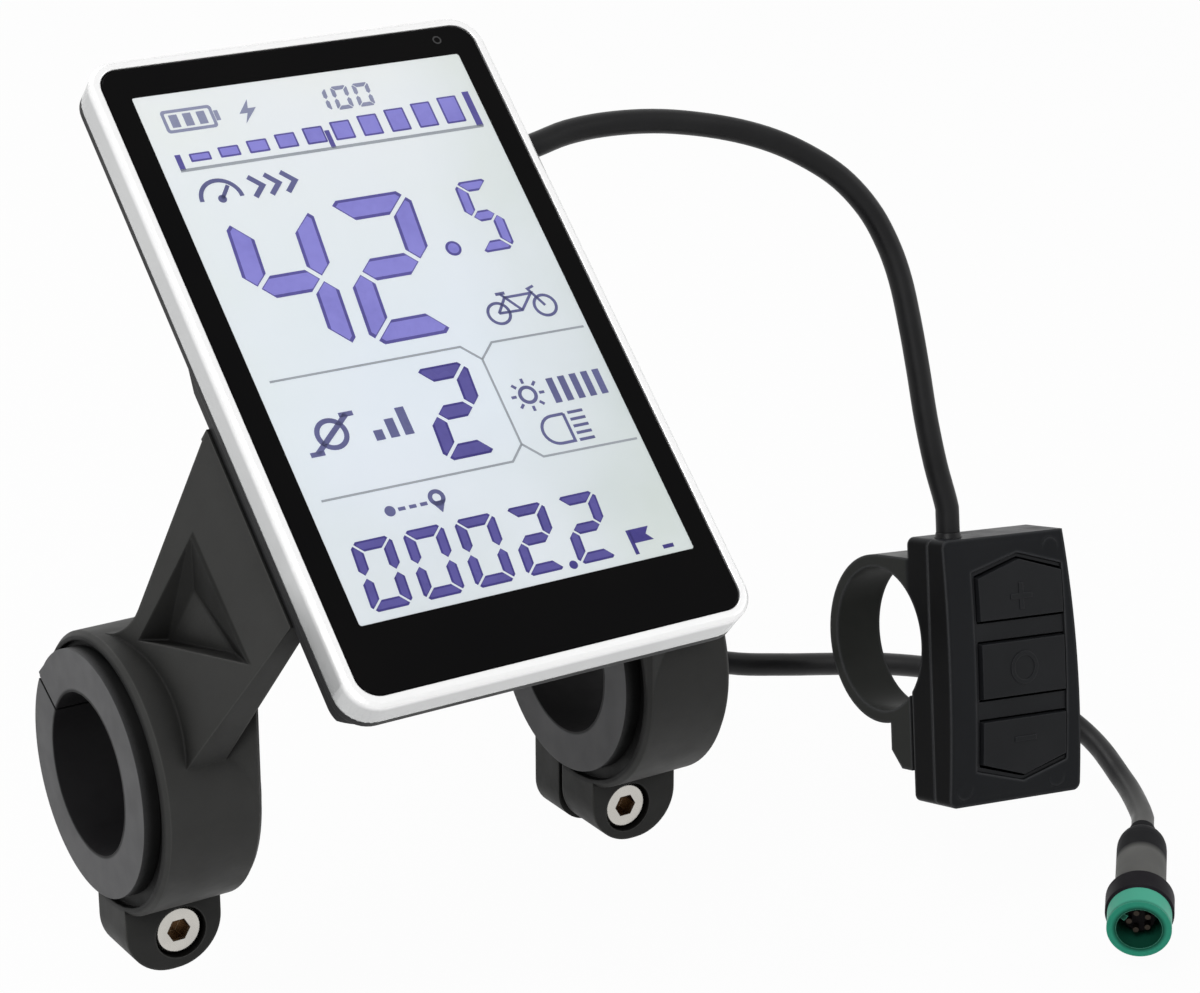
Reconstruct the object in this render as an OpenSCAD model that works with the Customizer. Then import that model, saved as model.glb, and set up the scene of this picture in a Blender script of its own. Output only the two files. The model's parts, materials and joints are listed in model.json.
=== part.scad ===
// Handlebar display with a tilted screen on two clamp arms, a three-key switch pod and its wiring.
// The handlebar's axis is X and the origin lies on it, midway between the two clamps.
// The rider looks along +Y and down, and +Z is up.

/* [Handlebar clamps] */
// Diameter of the handlebar that the rubber sleeves close on
bar_d = 22.2; // [20:0.1:24]
// Wall of the rubber sleeve between handlebar and clamp
sleeve_wall = 4.8; // [4:0.1:6]
// Thickness of the flange at each end of a sleeve
flange_t = 2.4; // [2:0.1:3]
// How far a flange stands out past the sleeve's wall
flange_lip = 1; // [0.8:0.1:1.6]
// Wall of the clamp ring
clamp_wall = 3.4; // [3:0.1:4.2]
// How far the clamp ring's outside lies ahead of its bore
clamp_shift = 1.1; // [0:0.1:1.2]
// Width of a clamp ring along the handlebar
clamp_w = 14; // [12:0.5:16]
// Distance between the middles of the two clamps
clamp_span = 73.8; // [72:0.1:80]
// Clamping gap between the two ears of a clamp
ear_gap = 0.9; // [0.6:0.1:1.5]
// How far the clamping gap lies behind the handlebar's axis
gap_back = 2.7; // [2:0.1:3.2]
// Thickness of the front ear
front_ear_t = 8.4; // [7.6:0.1:9]
// Thickness of the rear ear
rear_ear_t = 6.5; // [6:0.1:7]
// How much narrower the rear ear is than the front one
rear_ear_inset = 3.7; // [0:0.1:4]
// How far the ears reach below the handlebar's axis
ear_drop = 28.4; // [28:0.1:31]
// Radius of the ears' lower corners
ear_corner = 6.6; // [5.5:0.1:6.9]

/* [Screen position] */
// Angle between the screen and the horizontal
face_rise = 42.7; // [35:0.1:50]
// How far the screen's middle lies in front of the handlebar's axis
face_ahead = 10.7; // [8:0.1:13]
// How high the screen's middle lies above the handlebar's axis
face_height = 55.4; // [53:0.1:60]

/* [Screen] */
// Width of the cover glass
glass_w = 56.8; // [55:0.1:58]
// Height of the cover glass
glass_h = 94.6; // [92:0.1:98]
// Thickness of the cover glass
glass_t = 1.1; // [0.8:0.1:1.4]
// Corner radius of the cover glass
glass_corner = 3; // [2:0.1:4]
// Thickness of the adhesive frame under the glass
tape_t = 0.2; // [0.1:0.05:0.3]
// Margin of the glass beside the liquid crystal panel
panel_side = 2.1; // [2:0.1:2.6]
// Margin of the glass above the liquid crystal panel
panel_above = 2.7; // [2.5:0.1:4]
// Margin of the glass below the liquid crystal panel
panel_below = 7.5; // [7:0.1:9]
// Thickness of the liquid crystal panel
panel_t = 1.5; // [1.2:0.1:1.8]
// Margin of the panel beside the visible picture
picture_side = 1.4; // [1:0.1:2]
// Margin of the panel above and below the visible picture
picture_end = 2; // [1.5:0.1:3]
// Thickness of the polarising film
film_t = 0.2; // [0.1:0.05:0.3]
// Thickness of the backlight's light guide
guide_t = 1.5; // [1.2:0.1:1.8]
// Thickness of the backlight's tray
tray_t = 0.5; // [0.3:0.1:0.7]

/* [Screen casing] */
// Width of the silver frame's lip round the glass
lip_w = 1.5; // [1:0.1:2]
// Depth of the silver frame
frame_t = 4.6; // [4.4:0.1:5.2]
// Bevel round the silver frame's front edge
frame_bevel = 0.5; // [0.2:0.1:0.8]
// Thickness of the black rim behind the silver frame
rim_t = 1; // [0.8:0.1:1.4]
// Depth of the screen casing's lower half, from the glass to the back
tub_back = 7.6; // [7.4:0.1:8.6]
// Wall of the rear casing
shell_wall = 1.2; // [1:0.1:1.4]
// Width of the electronics hump on the back
hump_w = 36; // [34:0.5:37]
// Top of the hump, above the glass's middle
hump_top = 14; // [12:0.5:18]
// Bottom of the hump, below the glass's middle
hump_bottom = 36; // [34:0.5:38]
// Depth of the casing at the hump, from the glass to the back
hump_back = 14; // [13.5:0.1:16]
// Corner radius of the hump
hump_corner = 5; // [3:0.5:7]

/* [Arms] */
// Upper end of an arm's root on the casing, below the glass's middle
root_top = 3.4; // [2:0.1:6]
// Lower end of an arm's root on the casing, below the glass's middle
root_bottom = 32.7; // [30:0.1:34]
// Thickness of an arm at its root
root_t = 3.1; // [2.5:0.1:4]
// Thickness of an arm where it meets the clamp ring
tip_t = 6.5; // [5:0.1:8]
// Offset of an arm's lower edge from the handlebar's axis, where it meets the clamp ring
edge_offset = 14.2; // [12:0.1:15.5]
// Distance from the handlebar's axis at which the arm reaches the clamp ring's outer face
flare_end = 9.8; // [8:0.1:12]
// Radius of the fillet between an arm's upper edge and the clamp ring
arm_fillet = 5; // [3:0.5:7]
// Depth of the three-cornered pocket in an arm's outer face
pocket_t = 3; // [1:0.1:3.2]
// Thickness of the foot and flange that hold an arm to the casing
foot_t = 2.4; // [2:0.1:3]

/* [Switch pod] */
// Width of the pod along the handlebar
pod_w = 22.6; // [22:0.1:26]
// Height of the pod
pod_h = 40.4; // [40:0.1:46]
// Top of the pod above the axis of its ring
pod_rise = 16.2; // [15.5:0.1:18]
// Distance from the axis of its ring to the pod's front
pod_front = 18.1; // [17.8:0.1:20]
// Distance from the axis of its ring to the joint of the pod's halves
pod_split = 13.3; // [13.1:0.1:13.6]
// Distance from the axis of its ring to the pod's back
pod_rear = 8.3; // [7:0.1:8.8]
// Wall of the pod's halves
pod_wall = 1.2; // [1:0.1:1.3]
// Height of the bulge of the pod's curved front
pod_bulge = 1; // [0.5:0.1:1.2]
// How much wider the pod's curved outer side makes its bottom than its top
pod_side_bulge = 2; // [0.4:0.1:2.4]
// Width of the pod's ring along the handlebar
ring_w = 8.1; // [7:0.1:10]
// Wall of the pod's ring
ring_wall = 1.9; // [1.6:0.1:2.6]

/* [Keys] */
// Width of the keys
key_w = 15.8; // [14:0.1:16]
// Height of the middle key
key_mid_h = 8.5; // [8:0.1:9]
// Height of the straight sides of the outer keys
key_end_h = 6.6; // [6:0.1:7.2]
// Height of the point of the outer keys
key_tip = 2.3; // [1:0.1:2.6]
// Gap between two keys
key_gap = 3.3; // [2.6:0.1:3.4]
// Clearance round each key
key_clear = 0.3; // [0.2:0.05:0.5]
// How far a key travels when it is pressed
key_travel = 0.6; // [0.3:0.1:0.6]

/* [Wiring] */
// Diameter of both cables
cable_d = 3.6; // [3:0.1:4]
// Length of a moulded cable gland
gland_len = 5; // [4:0.5:6]
// Wall of a cable gland at its thin end
gland_wall = 0.5; // [0.3:0.1:0.8]
// Diameter of the connector's coloured shroud
shroud_d = 9.8; // [9:0.1:11]
// Inner diameter of the shroud
socket_d = 6.9; // [6.5:0.1:7.3]
// Diameter of the connector's collar
collar_d = 10.5; // [10.4:0.1:12]
// Diameter of the connector's rear body
plug_d = 7.8; // [7.2:0.1:8.6]
// Length of the connector
plug_len = 28; // [26:0.5:32]

/* [Hidden] */

// Fineness of true round surfaces, and of the corners that are only skinned over
$fn = 96;
skin_fn = 32;
// Overrun of every cut, play between seated pieces, and play of a screw in its hole
over = 1;
play = 0.05;
seat = 0.1;
screw_play = 0.2;

// Colours
black = [0.06, 0.06, 0.065];
soft_black = [0.1, 0.1, 0.105];
rubber = [0.2, 0.2, 0.2];
silver = [0.86, 0.87, 0.88];
steel = [0.75, 0.75, 0.76];
brass = [0.8, 0.66, 0.35];
board_green = [0.1, 0.3, 0.2];
teal = [0.05, 0.6, 0.45];

// Sizes and places worked out from the driving dimensions
panel_w = glass_w - 2 * panel_side;
panel_h = glass_h - panel_above - panel_below;
panel_up = (panel_below - panel_above) / 2;
picture_w = panel_w - 2 * picture_side;
picture_h = panel_h - 2 * picture_end;
bar_r = bar_d / 2;
sleeve_r = bar_r + sleeve_wall;
bore_r = sleeve_r + play;
flange_r = sleeve_r + flange_lip;
ring_r = bore_r + clamp_wall;
clamp_in = (clamp_span - clamp_w) / 2;
clamp_out = (clamp_span + clamp_w) / 2;
clamp_mid = clamp_span / 2;
clamp_bevel = 0.7;
recess_t = 1;
recess_gap = clamp_shift + seat;
recess_r = flange_r + recess_gap;
casing_w = glass_w + 2 * lip_w;
casing_h = glass_h + 2 * lip_w;
casing_corner = glass_corner + lip_w;
casing_side = casing_w / 2;
rim_back = frame_t + rim_t;

// The handlebar's axis as seen from the screen: along the screen, and behind it
axis_v = face_ahead * cos(face_rise) - face_height * sin(face_rise);
axis_d = face_ahead * sin(face_rise) + face_height * cos(face_rise);

// A place beside, along and behind the screen's middle
function screen_point(u, v, d) = [
    u, -face_ahead + v * cos(face_rise) + d * sin(face_rise),
    face_height + v * sin(face_rise) - d * cos(face_rise)
];

module on_display() translate([0, -face_ahead, face_height]) rotate([face_rise, 0, 0]) children();

// A flat outline in the screen's own plane, between two depths behind the glass
module layer(near, far) translate([0, 0, -far]) linear_extrude(far - near) children();

// An outline of places along and behind the screen, swept across it between two side places
module sideways(from, to) rotate([90, 0, 90]) translate([0, 0, from]) linear_extrude(to - from) children();

// An outline of side places and depths, swept along the screen between two places
module upward(from, to) rotate([90, 0, 0]) translate([0, 0, -to]) linear_extrude(to - from) children();

module rounded(w, h, r) {
    square([w - 2 * r, h], center = true);
    square([w, h - 2 * r], center = true);
    for (x = [-1, 1], y = [-1, 1]) translate([x * (w / 2 - r), y * (h / 2 - r)]) circle(r);
}

module ring_outline(w, h, r, wall) {
    difference() {
        rounded(w, h, r);
        rounded(w - 2 * wall, h - 2 * wall, max(r - wall, r / 3));
    }
}

module at_x(side) mirror([side < 0 ? 1 : 0, 0, 0]) children();

// A cylinder along X between two side places
module rod_x(r, from, to) translate([from, 0, 0]) rotate([0, 90, 0]) cylinder(r = r, h = to - from);

// A socket-head screw along -Z, with its head's underside at the origin
module socket_screw(d, len, head_d, head_h) {
    socket_af = d * 0.75;
    eased = head_h / 10;
    difference() {
        rotate_extrude() polygon([
            [0, -len], [d / 2, -len], [d / 2, 0], [head_d / 2, 0], [head_d / 2, head_h - eased],
            [head_d / 2 - eased, head_h], [0, head_h]
        ]);
        translate([0, 0, head_h / 4]) cylinder(d = socket_af / cos(30), h = head_h, $fn = 6);
    }
}

// Head of a small screw for plastic, as shares of the screw's diameter
head_d_share = 1.9;
head_h_share = 0.6;

// A pan-head screw for plastic with a cross slot, along -Z, with its head's underside at the origin
module small_screw(d, len) {
    head_d = d * head_d_share;
    head_h = d * head_h_share;
    slot_w = d * 0.3;
    difference() {
        union() {
            translate([0, 0, -len]) cylinder(d = d, h = len);
            cylinder(d = head_d, h = head_h);
        }
        for (a = [0, 90]) {
            rotate(a) translate([-head_d / 3, -slot_w / 2, head_h / 2]) {
                cube([head_d * 2 / 3, slot_w, head_h]);
            }
        }
    }
}

module hex_nut(d, af, h) {
    difference() {
        cylinder(d = af / cos(30), h = h, $fn = 6);
        translate([0, 0, -over]) cylinder(d = d, h = h + 2 * over);
    }
}

// Screen stack, from the glass backwards
tape_back = glass_t + tape_t;
film_back = tape_back + film_t;
panel_back = film_back + panel_t;
guide_back = panel_back + guide_t;
tray_back = guide_back + tray_t;
tray_wall = 0.7;
tape_w = 1.9;
bevel_glass = 0.25;

module front_glass() {
    color(black) on_display() {
        hull() {
            layer(0, bevel_glass) {
                rounded(glass_w - 2 * bevel_glass, glass_h - 2 * bevel_glass, glass_corner, $fn = skin_fn);
            }
            layer(bevel_glass, glass_t) rounded(glass_w, glass_h, glass_corner, $fn = skin_fn);
        }
    }
}

module glass_tape() {
    color(black) on_display() layer(glass_t, tape_back) ring_outline(glass_w, glass_h, glass_corner, tape_w);
}

module panel_layer(near, far, inset) {
    on_display() translate([0, panel_up, 0]) layer(near, far) {
        square([panel_w - 2 * inset, panel_h - 2 * inset], center = true);
    }
}

module front_film() {
    color([0.8, 0.85, 0.83]) on_display() translate([0, panel_up, 0]) {
        layer(tape_back, film_back) square([picture_w + tray_wall, picture_h + tray_wall], center = true);
    }
}

module lcd_panel() {
    color([0.55, 0.65, 0.62]) panel_layer(film_back, panel_back, 0);
}

module light_guide() {
    color([0.85, 0.9, 0.95]) panel_layer(panel_back, guide_back, tray_wall + seat);
}

module backlight_tray() {
    color("white") difference() {
        panel_layer(panel_back, tray_back, 0);
        panel_layer(panel_back - over, guide_back, tray_wall);
    }
}

// The silver frame: a bevelled lip level with the glass, a ledge under it and an open back
ledge_w = panel_side - 2 * seat;
ledge_t = 0.9;
frame_wall = 1.1;
glass_gap = 0.1;
post_r = 2.1;
post_inset = 6.4;
post_x = glass_w / 2 - post_inset;
post_y = (glass_h - panel_below) / 2;
post_back = frame_t + seat;
screw_d = 2;
screw_len = 4.4;
head_seat = tub_back - screw_d * head_h_share - seat;

module bezel() {
    pocket_w = glass_w + 2 * glass_gap;
    pocket_h = glass_h + 2 * glass_gap;
    front_w = casing_w - 2 * frame_bevel;
    front_h = casing_h - 2 * frame_bevel;
    color(silver) on_display() difference() {
        union() {
            difference() {
                hull() {
                    layer(0, frame_bevel) {
                        rounded(front_w, front_h, casing_corner - frame_bevel, $fn = skin_fn);
                    }
                    layer(frame_bevel, frame_t) rounded(casing_w, casing_h, casing_corner, $fn = skin_fn);
                }
                layer(-over, tape_back) rounded(pocket_w, pocket_h, glass_corner + glass_gap);
                layer(tape_back - over, frame_t + over) {
                    rounded(glass_w - 2 * ledge_w, glass_h - 2 * ledge_w, glass_corner / 2);
                }
                layer(tape_back + ledge_t, frame_t + over) {
                    rounded(casing_w - 2 * frame_wall, casing_h - 2 * frame_wall, casing_corner - frame_wall);
                }
            }
            at_posts() {
                layer(tape_back, post_back) circle(post_r);
                layer(tape_back, tape_back + ledge_t) {
                    translate([-post_r, post_y - glass_h / 2]) square([2 * post_r, glass_h / 2 - post_y]);
                }
            }
        }
        at_posts() layer(head_seat - screw_len - play, post_back + over) circle(screw_d / 2);
    }
}

// The black rear casing: rim, tongue inside the silver frame, shallow tub, and a hump for the electronics
tub_top = 7;
tub_ramp = 5;
tub_end = 2.6;
tub_low = casing_h / 2 - tub_end;
tub_inset = 0.4;
tongue_t = 1;
tongue_gap = 0.15;
hump_mid = (hump_top - hump_bottom) / 2;
hump_h = hump_top + hump_bottom;
boss_r = 2.6;
arm_screw_d = 3;
arm_screw_len = 6;
arm_head_d = arm_screw_d * head_d_share;
arm_screw_shares = [-0.3, 0.3];
root_mid = -(root_top + root_bottom) / 2;
root_len = root_bottom - root_top;
flange_depth = (tub_back + hump_back) / 2 - seat;
boss_len = arm_screw_len - foot_t + shell_wall;
pillar_r = 1.8;
pillar_inset = 3.4;
pillar_x = hump_w / 2 - shell_wall - pillar_inset;
pillar_y = [hump_top - shell_wall - pillar_inset, -hump_bottom + shell_wall + pillar_inset];
board_t = 1;
board_front = tray_back + seat + board_t;
board_back = board_front + board_t;
board_screw_d = 1.6;
board_screw_len = 4;

module tub_side() {
    polygon([
        [tub_top, -rim_back], [tub_top - tub_ramp, -tub_back], [-tub_low, -tub_back],
        [-tub_low - (tub_back - rim_back), -rim_back], [-tub_low - (tub_back - rim_back), -frame_t],
        [tub_top, -frame_t]
    ]);
}

module hump_outline(inset) {
    translate([0, hump_mid]) rounded(hump_w - 2 * inset, hump_h - 2 * inset, hump_corner - inset);
}

module at_arm_screws() {
    for (side = [-1, 1], s = arm_screw_shares) {
        at_x(side) translate([hump_w / 2, root_mid + s * root_len, -flange_depth]) rotate([0, 90, 0]) children();
    }
}

module at_posts() for (x = [-1, 1]) translate([x * post_x, -post_y, 0]) children();

module at_pillars() for (x = [-1, 1], y = pillar_y) translate([x * pillar_x, y, 0]) children();

pod_exit_x = 10;
main_exit = [8, -10];
exit_depth = (board_back + hump_back - shell_wall) / 2;
gland_r = cable_d / 2 + gland_wall;
gland_neck_r = gland_r + screw_play;
gland_root_r = gland_neck_r + gland_wall / 2;
flex_w = 14;
flex_t = 0.2;
panel_low = panel_up - panel_h / 2;
flex_out = panel_low - seat - flex_t;
flex_under = tray_back + seat;
flex_end = hump_corner - hump_bottom;

module at_pod_exit() translate([pod_exit_x, hump_top, -exit_depth]) rotate([-90, 0, 0]) children();

module at_main_exit() translate([main_exit[0], main_exit[1], -hump_back]) rotate([180, 0, 0]) children();

module rear_housing() {
    tongue_w = casing_w - 2 * frame_wall - 2 * tongue_gap;
    tongue_h = casing_h - 2 * frame_wall - 2 * tongue_gap;
    tongue_front = tape_back + ledge_t + seat;
    inside_w = panel_w + 2 * seat;
    inside_h = panel_h + 2 * seat;
    mouth = gland_neck_r + play;
    color(soft_black) on_display() difference() {
        union() {
            difference() {
                union() {
                    layer(frame_t, rim_back) rounded(casing_w, casing_h, casing_corner);
                    layer(tongue_front + seal_d, frame_t + seat) {
                        rounded(tongue_w, tongue_h, casing_corner - frame_wall);
                    }
                    intersection() {
                        sideways(-casing_side, casing_side) tub_side();
                        layer(frame_t, tub_back) rounded(casing_w - 2 * tub_inset, casing_h, casing_corner);
                    }
                    layer(frame_t, hump_back) hump_outline(0);
                }
                layer(-over, frame_t) {
                    rounded(tongue_w - 2 * tongue_t, tongue_h - 2 * tongue_t, casing_corner - frame_wall - tongue_t);
                }
                translate([0, panel_up, 0]) layer(0, tray_back + seat) square([inside_w, inside_h], center = true);
                layer(0, hump_back - shell_wall) hump_outline(shell_wall);
                sideways(-flex_w / 2 - seat, flex_w / 2 + seat) polygon([
                    [flex_out - seat, 0], [flex_out - seat, -flex_under - flex_t - seat],
                    [flex_end, -flex_under - flex_t - seat], [flex_end, 0]
                ]);
                at_posts() layer(0, post_back) circle(post_r + screw_play);
            }
            intersection() {
                layer(tub_back, hump_back) hump_outline(0);
                at_arm_screws() translate([0, 0, -boss_len]) cylinder(r = boss_r, h = boss_len);
            }
            at_pillars() layer(board_back, hump_back - shell_wall / 2) circle(pillar_r);
        }
        at_posts() layer(0, tub_back + over) circle(screw_d / 2 + screw_play);
        at_posts() layer(head_seat, tub_back + over) circle(screw_d * head_d_share / 2 + seat);
        at_arm_screws() {
            translate([0, 0, -arm_screw_len + foot_t - over]) cylinder(d = arm_screw_d, h = arm_screw_len);
        }
        at_pillars() layer(0, board_back + board_screw_len) circle(board_screw_d / 2);
        at_pod_exit() translate([0, 0, -shell_wall - over]) cylinder(r = mouth, h = shell_wall + 2 * over);
        at_main_exit() translate([0, 0, -shell_wall - over]) cylinder(r = mouth, h = shell_wall + 2 * over);
    }
}

seal_d = 0.8;

module housing_seal() {
    seal_w = casing_w - 2 * frame_wall - 2 * tongue_gap;
    seal_h = casing_h - 2 * frame_wall - 2 * tongue_gap;
    near = tape_back + ledge_t;
    color(rubber) on_display() layer(near, near + seal_d) {
        ring_outline(seal_w, seal_h, casing_corner - frame_wall, seal_d);
    }
}

module housing_screws() {
    color(steel) on_display() at_posts() {
        translate([0, 0, -head_seat]) rotate([180, 0, 0]) small_screw(screw_d, screw_len);
    }
}

// Circuit board in the hump, its parts and the flat flexible lead from the panel
header_size = [8, 4, 4];
cap_d = 4;
cap_h = 4.4;
chip_w = 7;
chip_t = 1.3;

module main_board() {
    color(board_green) on_display() difference() {
        layer(board_front, board_back) hump_outline(shell_wall + seat);
        at_pillars() layer(board_front - over, board_back + over) circle(board_screw_d / 2 + screw_play);
    }
}

module board_screws() {
    color(steel) on_display() at_pillars() translate([0, 0, -board_front]) {
        translate([0, 0, -board_screw_len]) cylinder(d = board_screw_d, h = board_screw_len);
        cylinder(d = board_screw_d * 1.8, h = board_t / 2);
    }
}

module processor() {
    leg = 0.5;
    color(black) on_display() translate([0, hump_mid, 0]) {
        layer(board_back + play, board_back + chip_t) square(chip_w, center = true);
        for (a = [0:90:270], i = [-3:3]) {
            rotate(a) translate([chip_w / 2 + leg / 2, i * chip_w / 8, 0]) {
                layer(board_back, board_back + chip_t / 2) square([leg, chip_w / 20], center = true);
            }
        }
    }
}

module capacitors() {
    color(steel) on_display() for (i = [-1, 1]) {
        translate([i * cap_d * 0.7, hump_mid + chip_w / 2 + cap_d * 1.2, 0]) {
            layer(board_back, board_back + cap_h) circle(d = cap_d);
        }
    }
}

module cable_headers() {
    color([0.9, 0.9, 0.85]) on_display() for (x = [-1, 1]) {
        translate([x * header_size[0] * 0.65, hump_mid - chip_w / 2 - header_size[1] * 1.4, 0]) difference() {
            layer(board_back, board_back + header_size[2]) {
                square([header_size[0], header_size[1]], center = true);
            }
            layer(board_back + header_size[2] / 3, board_back + header_size[2] + over) {
                square([header_size[0] - header_size[1] / 3, header_size[1] * 2 / 3], center = true);
            }
        }
    }
}

// The flexible lead comes off the panel's lower edge, turns under the tray and ends on the board's front
module lcd_flex() {
    near = film_back + flex_t;
    color([0.8, 0.5, 0.15]) on_display() sideways(-flex_w / 2, flex_w / 2) polygon([
        [panel_low, -near], [flex_out, -near], [flex_out, -flex_under - flex_t], [flex_end, -flex_under - flex_t],
        [flex_end, -board_front], [flex_end + flex_t, -board_front], [flex_end + flex_t, -flex_under],
        [flex_out + flex_t, -flex_under], [flex_out + flex_t, -near - flex_t], [panel_low, -near - flex_t]
    ]);
}

// A moulded gland: a root against the casing's inside, a neck through its wall, and a ribbed taper outside
rib_t = 0.5;

module gland() {
    rotate_extrude() polygon([
        [0, -shell_wall - rib_t], [gland_root_r, -shell_wall - rib_t], [gland_root_r, -shell_wall],
        [gland_neck_r, -shell_wall], [gland_neck_r, 0], [gland_root_r, 0], [gland_root_r, rib_t],
        [gland_r, gland_len], [0, gland_len]
    ]);
}

module pod_cable_gland() color(rubber) on_display() at_pod_exit() gland();

module main_cable_gland() color(rubber) on_display() at_main_exit() gland();

// An arm's side view is drawn along and behind the screen, with its upper edge aimed at the ring's middle
axis_point = [axis_v, -axis_d];
ring_point = axis_point + clamp_shift * [-cos(face_rise), sin(face_rise)];
upper_root = [-root_top, -tub_back];
lower_root = [-root_bottom, -tub_back];
upper_run = norm(upper_root - ring_point);
upper_dir = (upper_root - ring_point) / upper_run;
upper_side = [upper_dir[1], -upper_dir[0]];
fillet_from = sqrt(pow(ring_r + arm_fillet, 2) - pow(arm_fillet, 2));
fillet_mid = ring_point + fillet_from * upper_dir + arm_fillet * upper_side;
fillet_turn = atan2(fillet_from, arm_fillet);
lower_run = norm(lower_root - axis_point);
lower_turn = asin(edge_offset / lower_run);
lower_dir = (axis_point - lower_root) / lower_run;
lower_aim = [
    lower_dir[0] * cos(lower_turn) + lower_dir[1] * sin(lower_turn),
    lower_dir[1] * cos(lower_turn) - lower_dir[0] * sin(lower_turn)
];
lower_end = lower_root + lower_aim * sqrt(pow(lower_run, 2) - pow(edge_offset, 2));
fillet_steps = 8;

function turned(v, a) = [v[0] * cos(a) - v[1] * sin(a), v[0] * sin(a) + v[1] * cos(a)];

module arm_side() {
    polygon(concat(
        [upper_root, lower_root, lower_end, ring_point],
        [for (i = [0:fillet_steps])
            fillet_mid - turned(upper_side, fillet_turn * (1 - i / fillet_steps)) * arm_fillet]
    ));
}

// The arm flares from the casing's side out to the clamp ring's outer face
flare_depth = axis_d - flare_end;

module arm_front() {
    polygon([
        [casing_side - root_t, -tub_back], [casing_side, -tub_back], [clamp_out, -flare_depth],
        [clamp_out, -axis_d], [clamp_out - tip_t, -axis_d], [clamp_out - tip_t, -flare_depth]
    ]);
}

// The pocket narrows from a three-cornered mouth to a smaller floor that rises towards the arm's front edge.
// Its corners are shares of the arm's root and reach, and of the pocket's depth
mouth_shares = [[0.335, 0.25], [0.58, 0.715], [1.03, 0.235]];
floor_shares = [[0.525, 0.425], [0.63, 0.68], [0.91, 0.345]];
sink_shares = [0.67, 1, 0.55];

function flare_x(d) = casing_side + (clamp_out - casing_side) * (d - tub_back) / (flare_depth - tub_back);

function pocket_point(s, sink) =
    let (d = tub_back + s[1] * (flare_depth - tub_back), v = -root_top - s[0] * root_len)
    [flare_x(d) - sink, v, -d];

module pocket() {
    mouth = [for (s = mouth_shares) pocket_point(s, -pocket_t / 10)];
    bottom = [for (i = [0:2]) pocket_point(floor_shares[i], pocket_t * sink_shares[i])];
    polyhedron(concat(mouth, bottom), [
        [0, 1, 2], [5, 4, 3], [0, 3, 4], [0, 4, 1], [1, 4, 5], [1, 5, 2], [2, 5, 3], [2, 3, 0]
    ]);
}

// The foot lies under the casing's tub, with a flange up the side of the hump and a gusset to the arm
module foot() {
    hump_side = hump_w / 2 + play;
    inner = hump_side + foot_t;
    upward(-root_bottom, -root_top) polygon([
        [hump_side, -hump_back], [inner, -hump_back], [inner, -tub_back - foot_t - play],
        [casing_side, -tub_back - foot_t - play], [casing_side, -tub_back - play], [hump_side, -tub_back - play]
    ]);
    upward(root_mid - foot_t / 2, root_mid + foot_t / 2) polygon([
        [inner - play, -hump_back + foot_t], [casing_side, -flare_depth / 2],
        [casing_side, -tub_back - foot_t], [inner - play, -tub_back - foot_t]
    ]);
}

screw_inset = 1;
screw_rise = 5.1;
clamp_screw_d = 4;
clamp_head_d = 7;
clamp_head_h = 4;
head_sunk = 4.7;
nut_af = 7;
nut_h = 3.2;
ears_front = ear_gap / 2 + front_ear_t;
ears_back = ear_gap / 2 + rear_ear_t;

// Each ear is a plate under the ring with rounded lower corners, from one distance to another across the gap
module ear(width, from, to) {
    corner = min(ear_corner, width / 2 - play);
    translate([clamp_in + width / 2, gap_back + to, 0]) rotate([90, 0, 0]) linear_extrude(to - from) {
        translate([0, -ear_drop + corner]) {
            for (x = [-1, 1]) translate([x * (width / 2 - corner), 0]) circle(corner);
            square([width - 2 * corner, 2 * corner], center = true);
        }
        translate([-width / 2, -ear_drop + corner]) square([width, ear_drop - corner]);
    }
}

module clamp_ring() {
    translate([clamp_in, -clamp_shift, 0]) rotate([90, 0, 90]) rotate_extrude() polygon([
        [0, 0], [ring_r - clamp_bevel, 0], [ring_r, clamp_bevel],
        [ring_r, clamp_w - clamp_bevel], [ring_r - clamp_bevel, clamp_w], [0, clamp_w]
    ]);
}

// A pad fills the corner between the ring's front and the arm, deepest at the ring's inner side
pad_w = 7;
pad_taper = 2.5;
pad_top = 14.4;

module front_pad() {
    front = clamp_shift + ring_r;
    linear_extrude(pad_top) polygon([
        [clamp_in, clamp_bevel - front], [clamp_in + clamp_bevel, -front], [clamp_in + pad_w, pad_taper - front],
        [clamp_in + pad_w, 0], [clamp_in, 0]
    ]);
}

module at_clamp_screw() {
    translate([clamp_mid - screw_inset, gap_back, -ear_drop + screw_rise]) rotate([90, 0, 0]) children();
}

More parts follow.
